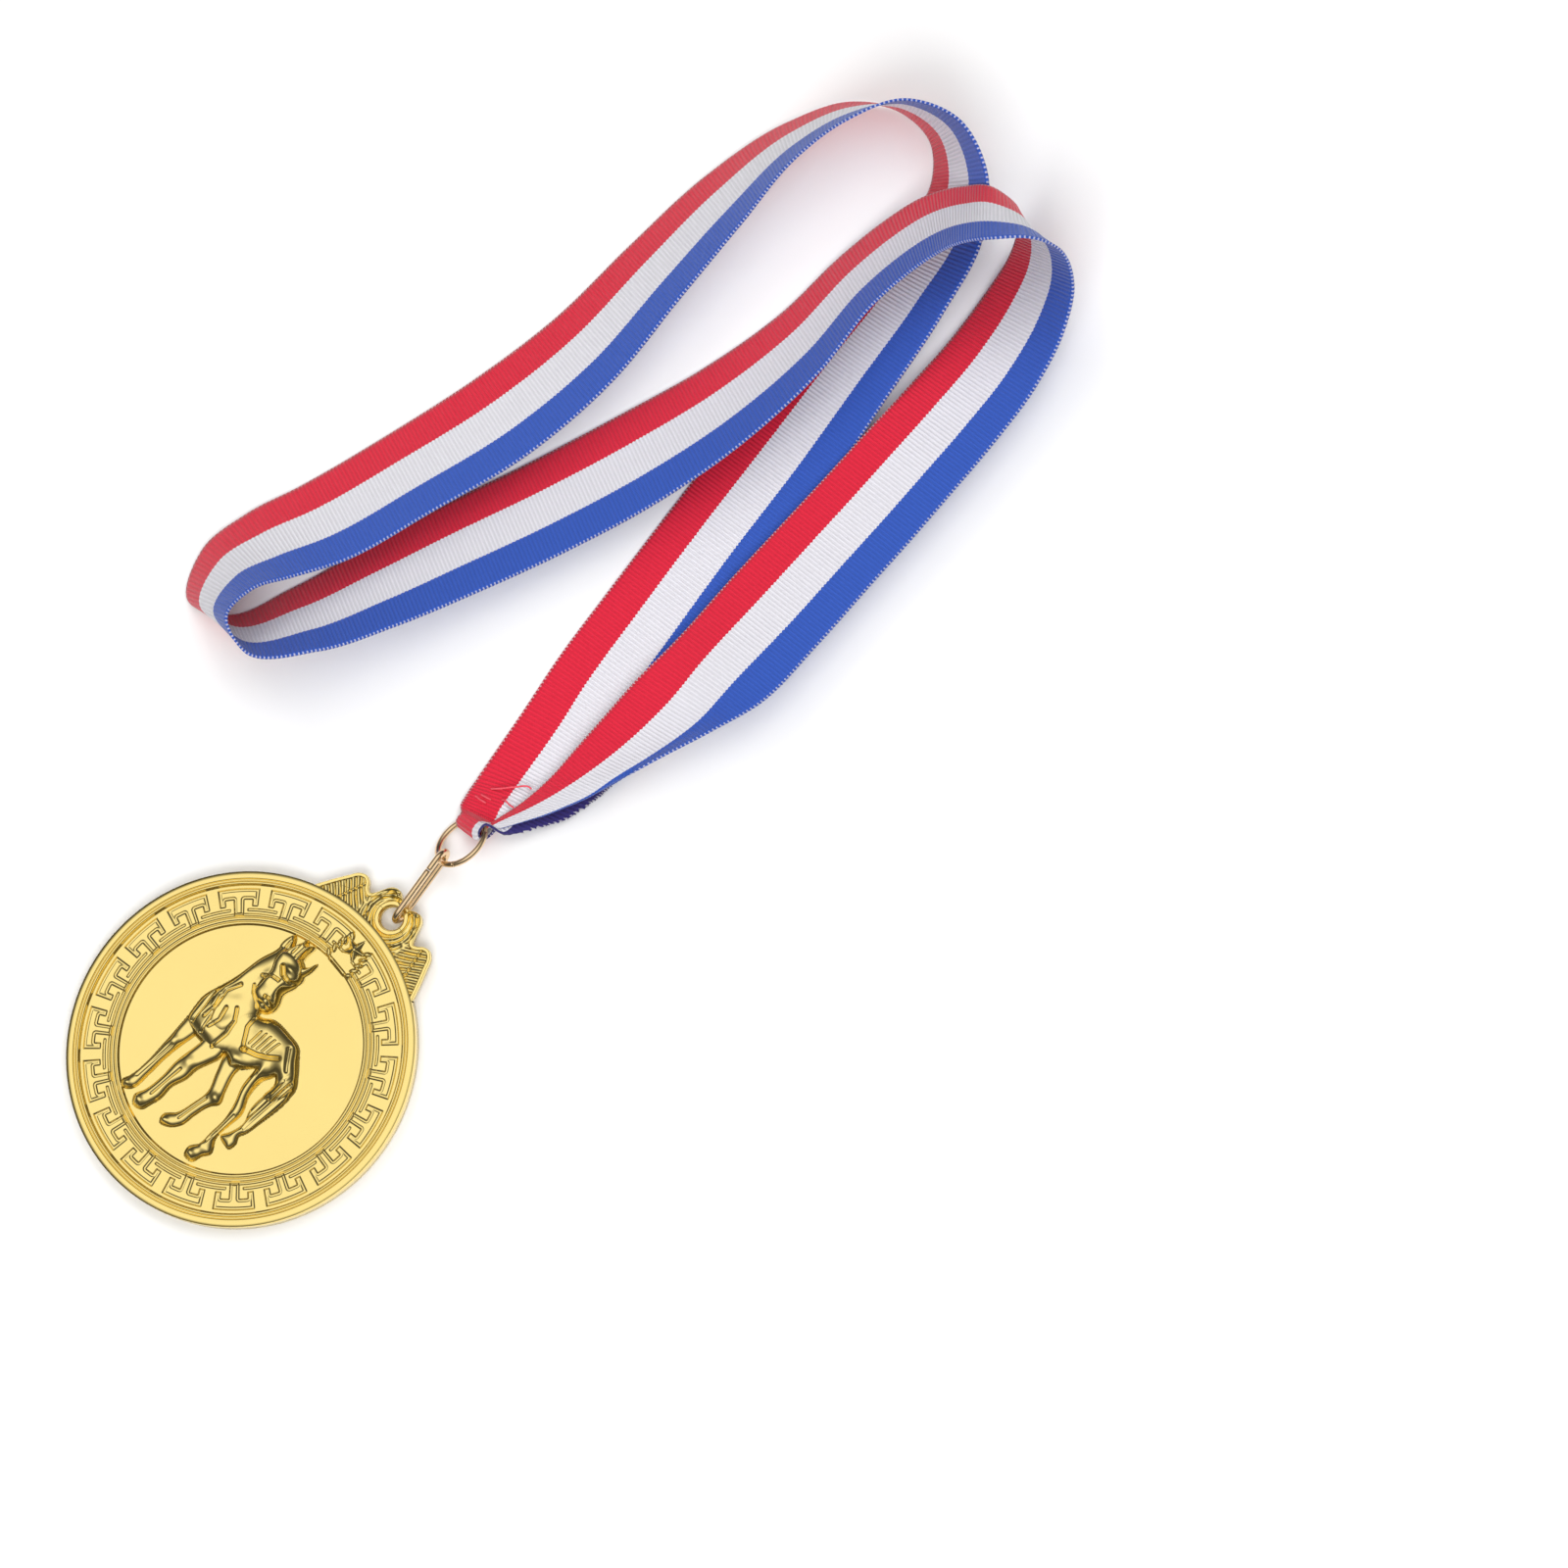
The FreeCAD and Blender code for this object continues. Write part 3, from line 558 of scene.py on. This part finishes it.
# One key: millimetres along the band, and out from the middle of the disc
KEY_SHAPE = [(-3.8, 29.5), (3.8, 29.5), (3.8, 26.1), (2.5, 26.1), (2.5, 27.3), (1.05, 27.3), (1.05, 24.3),
             (-1.05, 24.3), (-1.05, 27.3), (-2.5, 27.3), (-2.5, 26.1), (-3.8, 26.1)]


def smooth_step(value, low, high):
    t = np.clip((value - low) / (high - low), 0, 1)
    return t * t * (3 - 2 * t)


def ridge(distance, half, edge):
    """1 within half of a line, falling to 0 over edge."""
    return 1 - smooth_step(np.abs(distance), half, half + edge)


def inside_polygon(x, y, corners):
    """Signed distance to a closed outline: positive inside."""
    corners = np.asarray(corners, dtype=float)
    best = np.full(x.shape, 1e9)
    inside = np.zeros(x.shape, dtype=bool)
    for (x0, y0), (x1, y1) in zip(corners, np.roll(corners, -1, axis=0)):
        dx, dy = x1 - x0, y1 - y0
        t = np.clip(((x - x0) * dx + (y - y0) * dy) / (dx * dx + dy * dy), 0, 1)
        best = np.minimum(best, (x - x0 - t * dx) ** 2 + (y - y0 - t * dy) ** 2)
        crosses = ((y0 > y) != (y1 > y)) & (x < (x1 - x0) * (y - y0) / (y1 - y0 + 1e-12) + x0)
        inside ^= crosses
    return np.where(inside, 1, -1) * np.sqrt(best)


def rounded_outline(corners, steps=6):
    """A smooth closed curve through the corners."""
    corners = np.asarray(corners, dtype=float)
    ring_points = np.concatenate([corners[-2:], corners, corners[:3]])
    at = np.linspace(2, 2 + len(corners), steps * len(corners), endpoint=False)
    return spline(ring_points, at)


def line_distance(x, y, line):
    """Distance to an open polyline."""
    best = np.full(x.shape, 1e9)
    for (x0, y0), (x1, y1) in zip(line[:-1], line[1:]):
        dx, dy = x1 - x0, y1 - y0
        t = np.clip(((x - x0) * dx + (y - y0) * dy) / (dx * dx + dy * dy), 0, 1)
        best = np.minimum(best, (x - x0 - t * dx) ** 2 + (y - y0 - t * dy) ** 2)
    return np.sqrt(best)


# Horse: outlines (x, y in mm), height of the part and width over which it swells
HORSE_PARTS = [
    ("tail", 0.85, 1.3, [
        (11.0, 4.6), (12.5, 3.2), (13.0, 1.5), (13.0, -6.0), (12.7, -9.0), (12.3, -10.2), (13.0, -11.5),
        (12.8, -13.0), (11.4, -13.1), (9.9, -12.7), (10.6, -11.0), (11.0, -8.0), (10.0, -6.0),
        (9.6, -2.0), (9.9, 1.0)]),
    ("far_hind_leg", 0.8, 1.2, [
        (-1.0, -2.6), (0.3, -6.0), (2.0, -9.4), (1.8, -13.0), (1.2, -16.2), (-0.3, -18.5), (0.4, -19.6),
        (2.3, -18.8), (3.6, -16.8), (3.8, -14.0), (4.5, -10.6), (5.3, -9.3), (4.2, -7.0), (2.8, -3.6),
        (2.6, -2.0)]),
    ("near_hind_leg", 1.0, 1.3, [
        (4.6, 1.0), (4.9, -1.0), (5.5, -4.0), (7.0, -7.0), (8.0, -10.0), (8.3, -14.0), (8.5, -16.5),
        (7.5, -18.5), (8.0, -19.8), (10.0, -19.6), (10.6, -17.5), (11.3, -16.2), (9.7, -13.6),
        (9.5, -10.0), (9.5, -7.4), (7.7, -4.0), (7.3, -0.5), (8.0, 1.5), (7.0, 3.0)]),
    ("body", 1.5, 2.6, [
        (-10.8, 7.0), (-11.5, 4.5), (-12.2, 0.8), (-11.8, -1.5), (-11.0, -3.8), (-8.5, -4.7),
        (-5.0, -4.6), (-2.4, -4.0), (-1.2, -2.8), (1.5, -3.6), (3.0, -2.2), (5.0, 0.0), (6.6, -2.4),
        (7.1, -0.2), (8.4, 1.6), (9.2, 0.8), (9.8, -2.5), (11.6, -2.0), (12.6, 0.0), (12.6, 2.8),
        (11.0, 4.8), (9.0, 6.6), (7.0, 8.2), (4.0, 8.4), (0.0, 7.9), (-2.3, 6.3), (-5.0, 8.0)]),
    ("neck", 1.6, 2.4, [
        (-9.5, 18.2), (-9.8, 16.0), (-10.4, 13.5), (-10.7, 9.0), (-11.2, 5.5), (-11.4, 2.0),
        (-8.0, -2.0), (-3.5, -1.5), (-2.2, 4.0), (-2.6, 6.6), (-4.6, 9.0), (-5.0, 14.0), (-6.0, 18.6)]),
    ("left_foreleg", 0.9, 1.2, [
        (-11.1, -2.0), (-11.0, -5.5), (-10.6, -8.0), (-10.2, -11.0), (-9.8, -14.0), (-9.9, -18.5),
        (-10.3, -20.1), (-9.3, -20.9), (-7.9, -19.8), (-7.7, -16.0), (-8.0, -12.0), (-7.9, -8.0),
        (-7.6, -4.0), (-8.0, -1.0)]),
    ("right_foreleg", 1.15, 1.3, [
        (-6.0, -2.0), (-5.9, -5.0), (-6.2, -10.5), (-5.8, -14.0), (-6.0, -18.0), (-6.6, -20.0),
        (-5.5, -21.3), (-3.7, -20.8), (-3.2, -19.0), (-2.8, -17.0), (-3.1, -14.0), (-2.4, -11.0),
        (-2.4, -8.5), (-1.7, -6.0), (-1.2, -4.0), (-2.0, -1.5)]),
    ("left_ear", 1.2, 0.8, [
        (-9.6, 17.0), (-10.0, 19.6), (-9.5, 20.7), (-8.4, 19.8), (-7.6, 17.8)]),
    ("right_ear", 1.2, 0.7, [
        (-4.6, 17.4), (-3.3, 18.6), (-2.6, 20.4), (-2.3, 18.0), (-3.0, 16.4)]),
    ("forelock", 1.7, 0.7, [
        (-8.0, 17.4), (-7.5, 20.5), (-7.0, 22.0), (-6.3, 21.2), (-5.5, 22.0), (-5.2, 19.6), (-4.8, 17.4)]),
    ("head", 2.05, 1.9, [
        (-8.8, 17.6), (-6.5, 18.8), (-3.4, 18.0), (-2.1, 16.4), (-2.0, 14.6), (-2.5, 12.0),
        (-1.6, 10.4), (-1.3, 9.2), (-1.8, 7.6), (-3.0, 6.9), (-4.6, 7.4), (-6.4, 8.2), (-7.2, 10.6),
        (-7.4, 13.0), (-8.6, 15.0)]),
]
# Swellings: centre, radii, turn in degrees, height
HORSE_MUSCLES = [
    (-8.6, 1.6, 3.0, 4.4, 15, 0.40), (-4.8, 1.0, 2.2, 4.2, -20, 0.42), (-6.8, -2.4, 3.4, 1.8, 0, 0.30),
    (-9.6, 9.0, 1.6, 4.2, 5, 0.30), (-6.6, 4.6, 3.0, 2.6, 30, 0.28), (2.0, 5.6, 4.6, 2.4, 4, 0.22),
    (1.0, -1.6, 3.0, 1.5, 12, 0.42), (8.4, 4.4, 3.4, 3.0, -30, 0.42), (6.2, -1.0, 1.3, 4.0, 14, 0.30),
    (11.2, 1.0, 1.3, 3.8, 0, 0.30), (-4.2, -8.6, 1.6, 1.6, 0, 0.25), (-9.2, -8.2, 1.2, 1.4, 0, 0.22),
    (4.0, -9.0, 1.2, 1.0, 0, 0.25), (9.0, -16.2, 1.2, 1.0, 0, 0.20), (-5.6, 12.0, 1.9, 2.4, 20, 0.35),
    (-4.4, 16.2, 1.5, 0.8, 10, 0.30), (-2.9, 9.2, 1.2, 1.4, 10, 0.28), (-3.4, 12.4, 0.8, 2.2, 8, 0.25),
    (-5.0, -19.8, 1.2, 0.9, 0, 0.25), (-9.0, -19.6, 1.0, 0.8, 0, 0.22), (1.0, -18.6, 1.2, 0.8, 20, 0.22),
    (9.0, -18.7, 1.3, 0.9, 0, 0.25),
]
# Grooves: depth, half width, line
HORSE_GROOVES = [
    (0.55, 0.22, [(-6.0, 15.6), (-4.6, 14.6), (-3.0, 14.5), (-2.0, 15.2)]),
    (0.30, 0.18, [(-7.4, 11.6), (-6.0, 13.0), (-4.4, 13.4)]),
    (0.35, 0.16, [(-3.9, 9.6), (-3.0, 10.0), (-1.8, 9.7)]),
    (0.30, 0.15, [(-4.2, 8.2), (-3.0, 8.5), (-1.7, 8.2)]),
    (0.25, 0.15, [(-7.0, 9.4), (-6.0, 8.4), (-4.6, 8.0)]),
    (0.35, 0.22, [(-8.6, 7.6), (-9.6, 5.0), (-8.6, 2.0), (-8.8, -1.0)]),
    (0.32, 0.20, [(-5.6, 4.4), (-4.0, 2.6), (-3.4, 0.0), (-3.6, -3.6)]),
    (0.30, 0.18, [(-7.0, 3.0), (-6.2, 0.6), (-6.6, -1.6)]),
    (0.28, 0.18, [(-11.0, 3.0), (-10.2, 0.0), (-9.6, -3.4)]),
    (0.25, 0.15, [(-9.6, 3.6), (-8.0, 0.4), (-6.8, -3.4)]),
    (0.30, 0.20, [(-2.2, 5.6), (-1.8, 3.6), (0.0, 1.2), (1.0, 0.4)]),
    (0.42, 0.26, [(0.6, 0.5), (3.2, 1.6), (5.4, 3.2), (6.6, 4.4)]),
    (0.16, 0.10, [(0.6, 5.0), (0.7, 2.0)]),
    (0.16, 0.10, [(1.6, 5.5), (1.6, 2.0)]),
    (0.16, 0.10, [(2.6, 5.8), (2.5, 2.4)]),
    (0.16, 0.10, [(3.6, 6.0), (3.4, 2.8)]),
    (0.16, 0.10, [(4.6, 6.2), (4.3, 3.3)]),
    (0.30, 0.24, [(6.4, 7.0), (7.4, 6.0), (9.4, 4.0)]),
    (0.20, 0.16, [(-4.3, -10.6), (-4.4, -17.4)]),
    (0.18, 0.14, [(-8.9, -9.0), (-8.8, -17.4)]),
    (0.20, 0.14, [(3.0, -10.4), (2.4, -16.4)]),
    (0.18, 0.12, [(8.9, -8.4), (9.2, -15.0)]),
    (0.20, 0.14, [(10.6, 2.6), (10.8, -8.0)]),
    (0.20, 0.14, [(11.8, 3.0), (12.0, -8.6)]),
    (0.20, 0.14, [(-7.1, 21.0), (-6.9, 18.4)]),
    (0.18, 0.12, [(-6.0, 21.0), (-5.9, 18.4)]),
    (0.20, 0.14, [(-8.9, 19.4), (-8.6, 17.8)]),
]
HORSE_RISE = 1.35       # of its parts and of the grooves cut into them
MUSCLE_RISE = 1.7


def horse_height(x, y):
    """Relief of the standing horse above the field."""
    height = np.zeros(x.shape)
    near = (np.abs(x) < 15) & (np.abs(y) < 24)
    px, py = x[near], y[near]
    top = np.zeros(px.shape)
    cover = np.full(px.shape, -9.0)
    for _, rise, swell, corners in HORSE_PARTS:
        depth = inside_polygon(px, py, rounded_outline(corners))
        cover = np.maximum(cover, depth)
        t = np.clip(depth / swell, 0, 1)
        dome = 0.16 + 0.84 * np.sqrt(np.maximum(1 - (1 - t) ** 2, 0))
        part = np.where(depth > 0, HORSE_RISE * rise * dome, 0)
        top = np.maximum(top, part)
    for cx, cy, rx, ry, turn, rise in HORSE_MUSCLES:
        angle = math.radians(turn)
        u = ((px - cx) * math.cos(angle) + (py - cy) * math.sin(angle)) / rx
        v = (-(px - cx) * math.sin(angle) + (py - cy) * math.cos(angle)) / ry
        top += np.where(cover > 0, MUSCLE_RISE * rise * np.exp(-1.8 * (u * u + v * v)), 0)
    for deep, half, line in HORSE_GROOVES:
        cut = np.exp(-(line_distance(px, py, line) / half) ** 2 * 0.45)
        top -= np.where(cover > 0, HORSE_RISE * deep * cut, 0)
    hair = np.sin(9.0 * px) * ridge(px - 11.4, 1.2, 0.4) * ridge(py + 2.5, 5.0, 2.0)
    top += np.where(cover > 0.1, 0.07 * hair, 0)
    height[near] = np.where(cover > 0, np.maximum(top, 0.05), 0)
    return height


def key_height(x, y):
    """Key pattern round the band: a raised T with turned-down ends, sunk inside its outline."""
    out = np.zeros(x.shape)
    radius = np.hypot(x, y)
    band = (radius > 22) & (radius < 31)
    angle = np.degrees(np.arctan2(y, x))
    for centre in KEY_ANGLES:
        turn = (angle - centre + 180) % 360 - 180
        near = band & (np.abs(turn) < 10)
        if not near.any():
            continue
        u = np.radians(turn[near]) * KEY_RADIUS
        v = radius[near]
        depth = inside_polygon(u, v, KEY_SHAPE)
        motif = 0.24 * smooth_step(depth, 0.0, 0.30) - 0.14 * smooth_step(depth, 0.52, 0.74)
        arc = 0.18 * ridge(v - 25.5, 0.10, 0.22) * smooth_step(np.abs(u), 1.6, 1.9)
        out[near] = np.maximum(out[near], np.maximum(motif, arc))
    return out


def badge_height(x, y):
    """A plain five-pointed star between two leaves, in the gap at the top of the band."""
    corners = []
    for step in range(10):
        reach = 2.5 if step % 2 == 0 else 1.05
        angle = math.radians(90 + 36 * step)
        corners.append((reach * math.cos(angle), 27.2 + reach * math.sin(angle)))
    depth = inside_polygon(x, y, corners)
    star = np.clip(depth / 0.9, 0, 1) * 0.75 + np.where(depth > 0, 0.15, 0)
    leaves = np.zeros(x.shape)
    for side in (-1, 1):
        for step in range(5):
            cx = side * (2.9 - 0.15 * step ** 1.5 + 0.12 * step)
            cy = 23.4 + 1.25 * step
            u = (x - cx) * math.cos(0.7 * side) - (y - cy) * math.sin(0.7 * side)
            v = (x - cx) * math.sin(0.7 * side) + (y - cy) * math.cos(0.7 * side)
            leaf = 1 - (u / 0.42) ** 2 - (v / 0.85) ** 2
            leaves = np.maximum(leaves, np.sqrt(np.maximum(leaf, 0)) * 0.5)
    bar = ridge(y - 22.9, 0.25, 0.2) * ridge(x, 2.0, 0.3) * 0.45
    return np.maximum(np.maximum(star, leaves), bar)


def disc_height(x, y):
    """Height of the round part at each point."""
    radius = np.hypot(x, y)
    height = np.full(x.shape, FIELD)
    raised = smooth_step(radius, 22.7, 23.0)
    height += raised * (BAND - FIELD)
    for at, half in BAND_LINES:
        height += ridge(radius - at, half, 0.20) * 0.20
    height += smooth_step(radius, 29.95, 30.3) * (RIM_TOP - BAND)
    height -= ridge(radius - 30.9, 0.10, 0.28) * 0.30
    over = np.clip((radius - 31.8) / 0.7, 0, 1)
    height -= 0.22 * over ** 2
    gap = ridge(x, 3.0, 0.4) * (y > 0) * ridge(radius - 26.5, 3.4, 0.4)
    height = np.where(gap > 0.02, np.minimum(height, BAND * gap + height * (1 - gap)), height)
    height += key_height(x, y)
    height += badge_height(x, y)
    height += horse_height(x, y)
    return height


def make_disc():
    around = 1500
    inner = np.linspace(0.05, FIELD_GRID_RADIUS, 160)
    outer = np.linspace(FIELD_GRID_RADIUS, EDGE_START, 110)[1:]
    edge = EDGE_START + (DISC_RADIUS - EDGE_START) * np.sin(np.linspace(0, math.pi / 2, 12))[1:]
    radii = np.concatenate([inner, outer, edge])
    angles = np.linspace(0, 2 * math.pi, around, endpoint=False)
    rr, aa = np.meshgrid(radii, angles)
    x, y = rr * np.cos(aa), rr * np.sin(aa)
    z = disc_height(x, y)
    top = np.stack([x, y, z], axis=-1)
    # the side and the plain back
    profile = [(DISC_RADIUS, 2.6), (DISC_RADIUS, 0.6), (32.3, 0.2), (31.9, 0.0), (20.0, 0.0), (0.05, 0.0)]
    skirt = np.array([[(r * math.cos(a), r * math.sin(a), h) for r, h in profile] for a in angles])
    grid = np.concatenate([top, skirt], axis=1)
    columns = grid.shape[1]
    faces = grid_faces(around, columns, wrap=True)
    points = grid.reshape(-1, 3)
    centre = len(points)
    points = np.concatenate([points, [[0, 0, float(disc_height(np.zeros(1), np.zeros(1))[0])], [0, 0, 0]]])
    for i in range(around):
        j = (i + 1) % around
        faces.append((centre, i * columns, j * columns))
        faces.append((centre + 1, j * columns + columns - 1, i * columns + columns - 1))
    return add_mesh("medallion_disc", points, [f[::-1] for f in faces])


WING_OUTLINE = [
    (14.4, 29.2), (12.9, 32.4), (11.6, 34.9), (10.4, 36.9), (9.2, 37.5), (8.0, 37.1), (7.2, 36.3),
    (6.4, 35.9), (5.7, 36.8), (5.1, 38.1), (4.2, 39.8), (3.2, 40.3), (2.2, 40.1), (1.2, 39.5),
    (0.0, 39.2)]


def plate_height(x, y, depth):
    """Wings and scroll round the eye.  depth is the distance in from the outline."""
    height = np.full(x.shape, PLATE_TOP - 0.25)
    height += 0.30 * ridge(depth - 0.35, 0.2, 0.25)
    side = np.abs(x)
    from_eye = np.hypot(x - EYE[0], y - EYE[1])
    # feathers: slanted ridges over each wing
    slant = 0.80 * y - 0.60 * side
    feather = np.abs(np.sin(3.1 * slant + 0.25 * np.sin(side)))
    wing = smooth_step(side, 5.0, 6.2) * smooth_step(depth, 0.5, 0.9)
    height += wing * (0.34 * feather - 0.12)
    rows = np.exp(-((side - 9.2 + 0.28 * (y - 33.0)) / 0.22) ** 2)
    height -= 0.18 * rows * wing
    # scroll: curls over the eye
    scroll = (1 - smooth_step(side, 4.8, 6.0)) * smooth_step(from_eye, 3.2, 3.5)
    curl = np.sin(5.2 * from_eye - 2.2 * np.arctan2(side, y - EYE[1]))
    height += scroll * (0.18 * curl + 0.05)
    for cx, cy, size in ((2.7, 39.2, 0.75), (4.3, 37.4, 0.6), (5.0, 34.6, 0.55), (3.9, 32.9, 0.5)):
        height += 0.28 * np.exp(-(((side - cx) ** 2 + (y - cy) ** 2) / size ** 2) * 1.2)
    # the ring of the eye
    height += 0.50 * ridge(from_eye - 2.75, 0.28, 0.3) - 0.15 * ridge(from_eye - 3.4, 0.1, 0.2)
    return height


def make_plate():
    outline = np.array(WING_OUTLINE)
    outline = spline(outline, np.linspace(0, len(outline) - 1, 400))
    order = np.argsort(outline[:, 0])
    count = 260
    xs = np.linspace(-14.3, 14.3, count)
    extra = EYE_RADIUS * np.cos(np.linspace(0, math.pi, 26))
    xs = np.unique(np.round(np.concatenate([xs, extra]), 4))
    top_y = np.interp(np.abs(xs), outline[order, 0], outline[order, 1])
    low_y = np.sqrt(31.2 ** 2 - xs ** 2)
    low_y = np.minimum(low_y, top_y - 0.05)
    arch = np.sqrt(np.maximum(EYE_RADIUS ** 2 - xs ** 2, 0))
    blend = smooth_step(np.abs(xs), EYE_RADIUS, EYE_RADIUS + 2.0)
    mid = EYE[1] * (1 - blend) + (low_y + (top_y - low_y) * 0.5) * blend
    lanes = 70
    shares = np.linspace(0, 1, lanes)
    edge_line = np.concatenate([outline, outline[::-1] * [-1, 1]])
    points, faces = [], []
    offset = 0
    for low, high in ((low_y, mid - arch), (mid + arch, top_y)):
        y = low[:, None] + (high - low)[:, None] * shares[None, :]
        x = np.broadcast_to(xs[:, None], y.shape)
        depth = line_distance(x, y, edge_line[::3])
        z = plate_height(x, y, depth)
        top = np.stack([x, y, z], axis=-1)
        bottom = np.stack([x, y, np.full(y.shape, PLATE_LOW)], axis=-1)
        total = top.shape[0] * lanes
        points += [top.reshape(-1, 3), bottom.reshape(-1, 3)]
        faces += grid_faces(len(xs), lanes, offset, flip=True) + grid_faces(len(xs), lanes, offset + total)
        for i in range(len(xs) - 1):
            for lane, turn in ((0, False), (lanes - 1, True)):
                a = offset + i * lanes + lane
                b = a + lanes
                quad = (a, b, b + total, a + total)
                faces.append(quad if turn else quad[::-1])
        offset += 2 * total
    return add_mesh("medallion_wings", np.concatenate(points), faces)


disc = make_disc()
disc.data.materials.append(MEDAL_GOLD)
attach(disc, "medal")
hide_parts("medallion")

wings = make_plate()
wings.data.materials.append(MEDAL_GOLD)
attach(wings, "medal")


# ---------------------------------------------------------------------------------------------
# Floor, light and camera
# ---------------------------------------------------------------------------------------------
FLOOR_CORNERS = [(-900, -900, 0), (900, -900, 0), (900, 900, 0), (-900, 900, 0)]
floor = add_mesh("floor", FLOOR_CORNERS, [(0, 1, 2, 3)], smooth=False)
floor_material, floor_tree, floor_shader = new_material("pale_floor")
floor_tone = noise(floor_tree, 40.0, 4.0, object_coordinates(floor_tree))
floor_colour = mix_colour(floor_tree, floor_tone, (0.93, 0.93, 0.935), (0.96, 0.96, 0.96))
floor_tree.links.new(floor_colour, floor_shader.inputs["Base Color"])
floor_shader.inputs["Roughness"].default_value = 0.7
floor_shader.inputs["Specular IOR Level"].default_value = 0.2
bump(floor_tree, floor_shader, noise(floor_tree, 600.0, 3.0, object_coordinates(floor_tree)), 0.05, 0.0002)
floor.data.materials.append(floor_material)


def area_light(name, where, aim, wide, high, power, colour=(1.0, 1.0, 1.0)):
    data = bpy.data.lights.new(name, "AREA")
    data.shape = "RECTANGLE"
    data.size = wide
    data.size_y = high
    data.energy = power
    data.color = colour
    item = bpy.data.objects.new(name, data)
    item.visible_glossy = False     # polished metal mirrors the even sky, not the edges of a box
    bpy.context.scene.collection.objects.link(item)
    item.location = where
    item.rotation_euler = (Vector(aim) - Vector(where)).to_track_quat("-Z", "Y").to_euler()


area_light("key_softbox", (0.55, -0.25, 0.9), (0.0, 0.08, 0.0), 0.7, 0.5, 6.5)
area_light("fill_softbox", (-0.7, 0.3, 0.8), (0.0, 0.08, 0.0), 0.6, 0.6, 2.2)
area_light("top_softbox", (0.1, 0.6, 1.0), (0.0, 0.08, 0.0), 0.8, 0.4, 3.0)

world = bpy.data.worlds.new("studio")
bpy.context.scene.world = world
world.use_nodes = True
world_tree = world.node_tree
background = world_tree.nodes["Background"]
sky_split = world_tree.nodes.new("ShaderNodeSeparateXYZ")
world_tree.links.new(world_tree.nodes.new("ShaderNodeTexCoord").outputs["Generated"], sky_split.inputs[0])
ramp = world_tree.nodes.new("ShaderNodeValToRGB")
SKY = [(0.0, 0.30), (0.14, 0.08), (0.42, 0.07), (0.66, 0.22), (0.80, 0.55), (0.92, 1.04), (1.0, 1.08)]
ramp.color_ramp.elements[0].position = SKY[0][0]
ramp.color_ramp.elements[1].position = SKY[-1][0]
for place, level in SKY[1:-1]:
    ramp.color_ramp.elements.new(place)
for stop, (place, level) in zip(ramp.color_ramp.elements, SKY):
    stop.color = (level, level * 0.99, level * 0.97, 1)
world_tree.links.new(sky_split.outputs["Z"], ramp.inputs["Fac"])
world_tree.links.new(ramp.outputs["Color"], background.inputs["Color"])
background.inputs["Strength"].default_value = 1.0

camera_data = bpy.data.cameras.new("camera")
camera_data.sensor_width = 36.0
camera_data.lens = 192.4
camera_data.clip_start = 0.05
camera = bpy.data.objects.new("camera", camera_data)
bpy.context.scene.collection.objects.link(camera)
RIGHT = Vector((0.6189, 0.7580, -0.2061))
UP = Vector((-0.7294, 0.6519, 0.2074))
BACK = Vector((0.2915, 0.0219, 0.9563))
TARGET = Vector((0.02808, 0.10539, 0.0))
DISTANCE = 1.5
pose = Matrix((RIGHT, UP, BACK)).transposed().to_4x4()
pose.translation = TARGET + BACK * DISTANCE
camera.matrix_world = pose
bpy.context.scene.camera = camera
bpy.context.scene.view_settings.view_transform = "Standard"
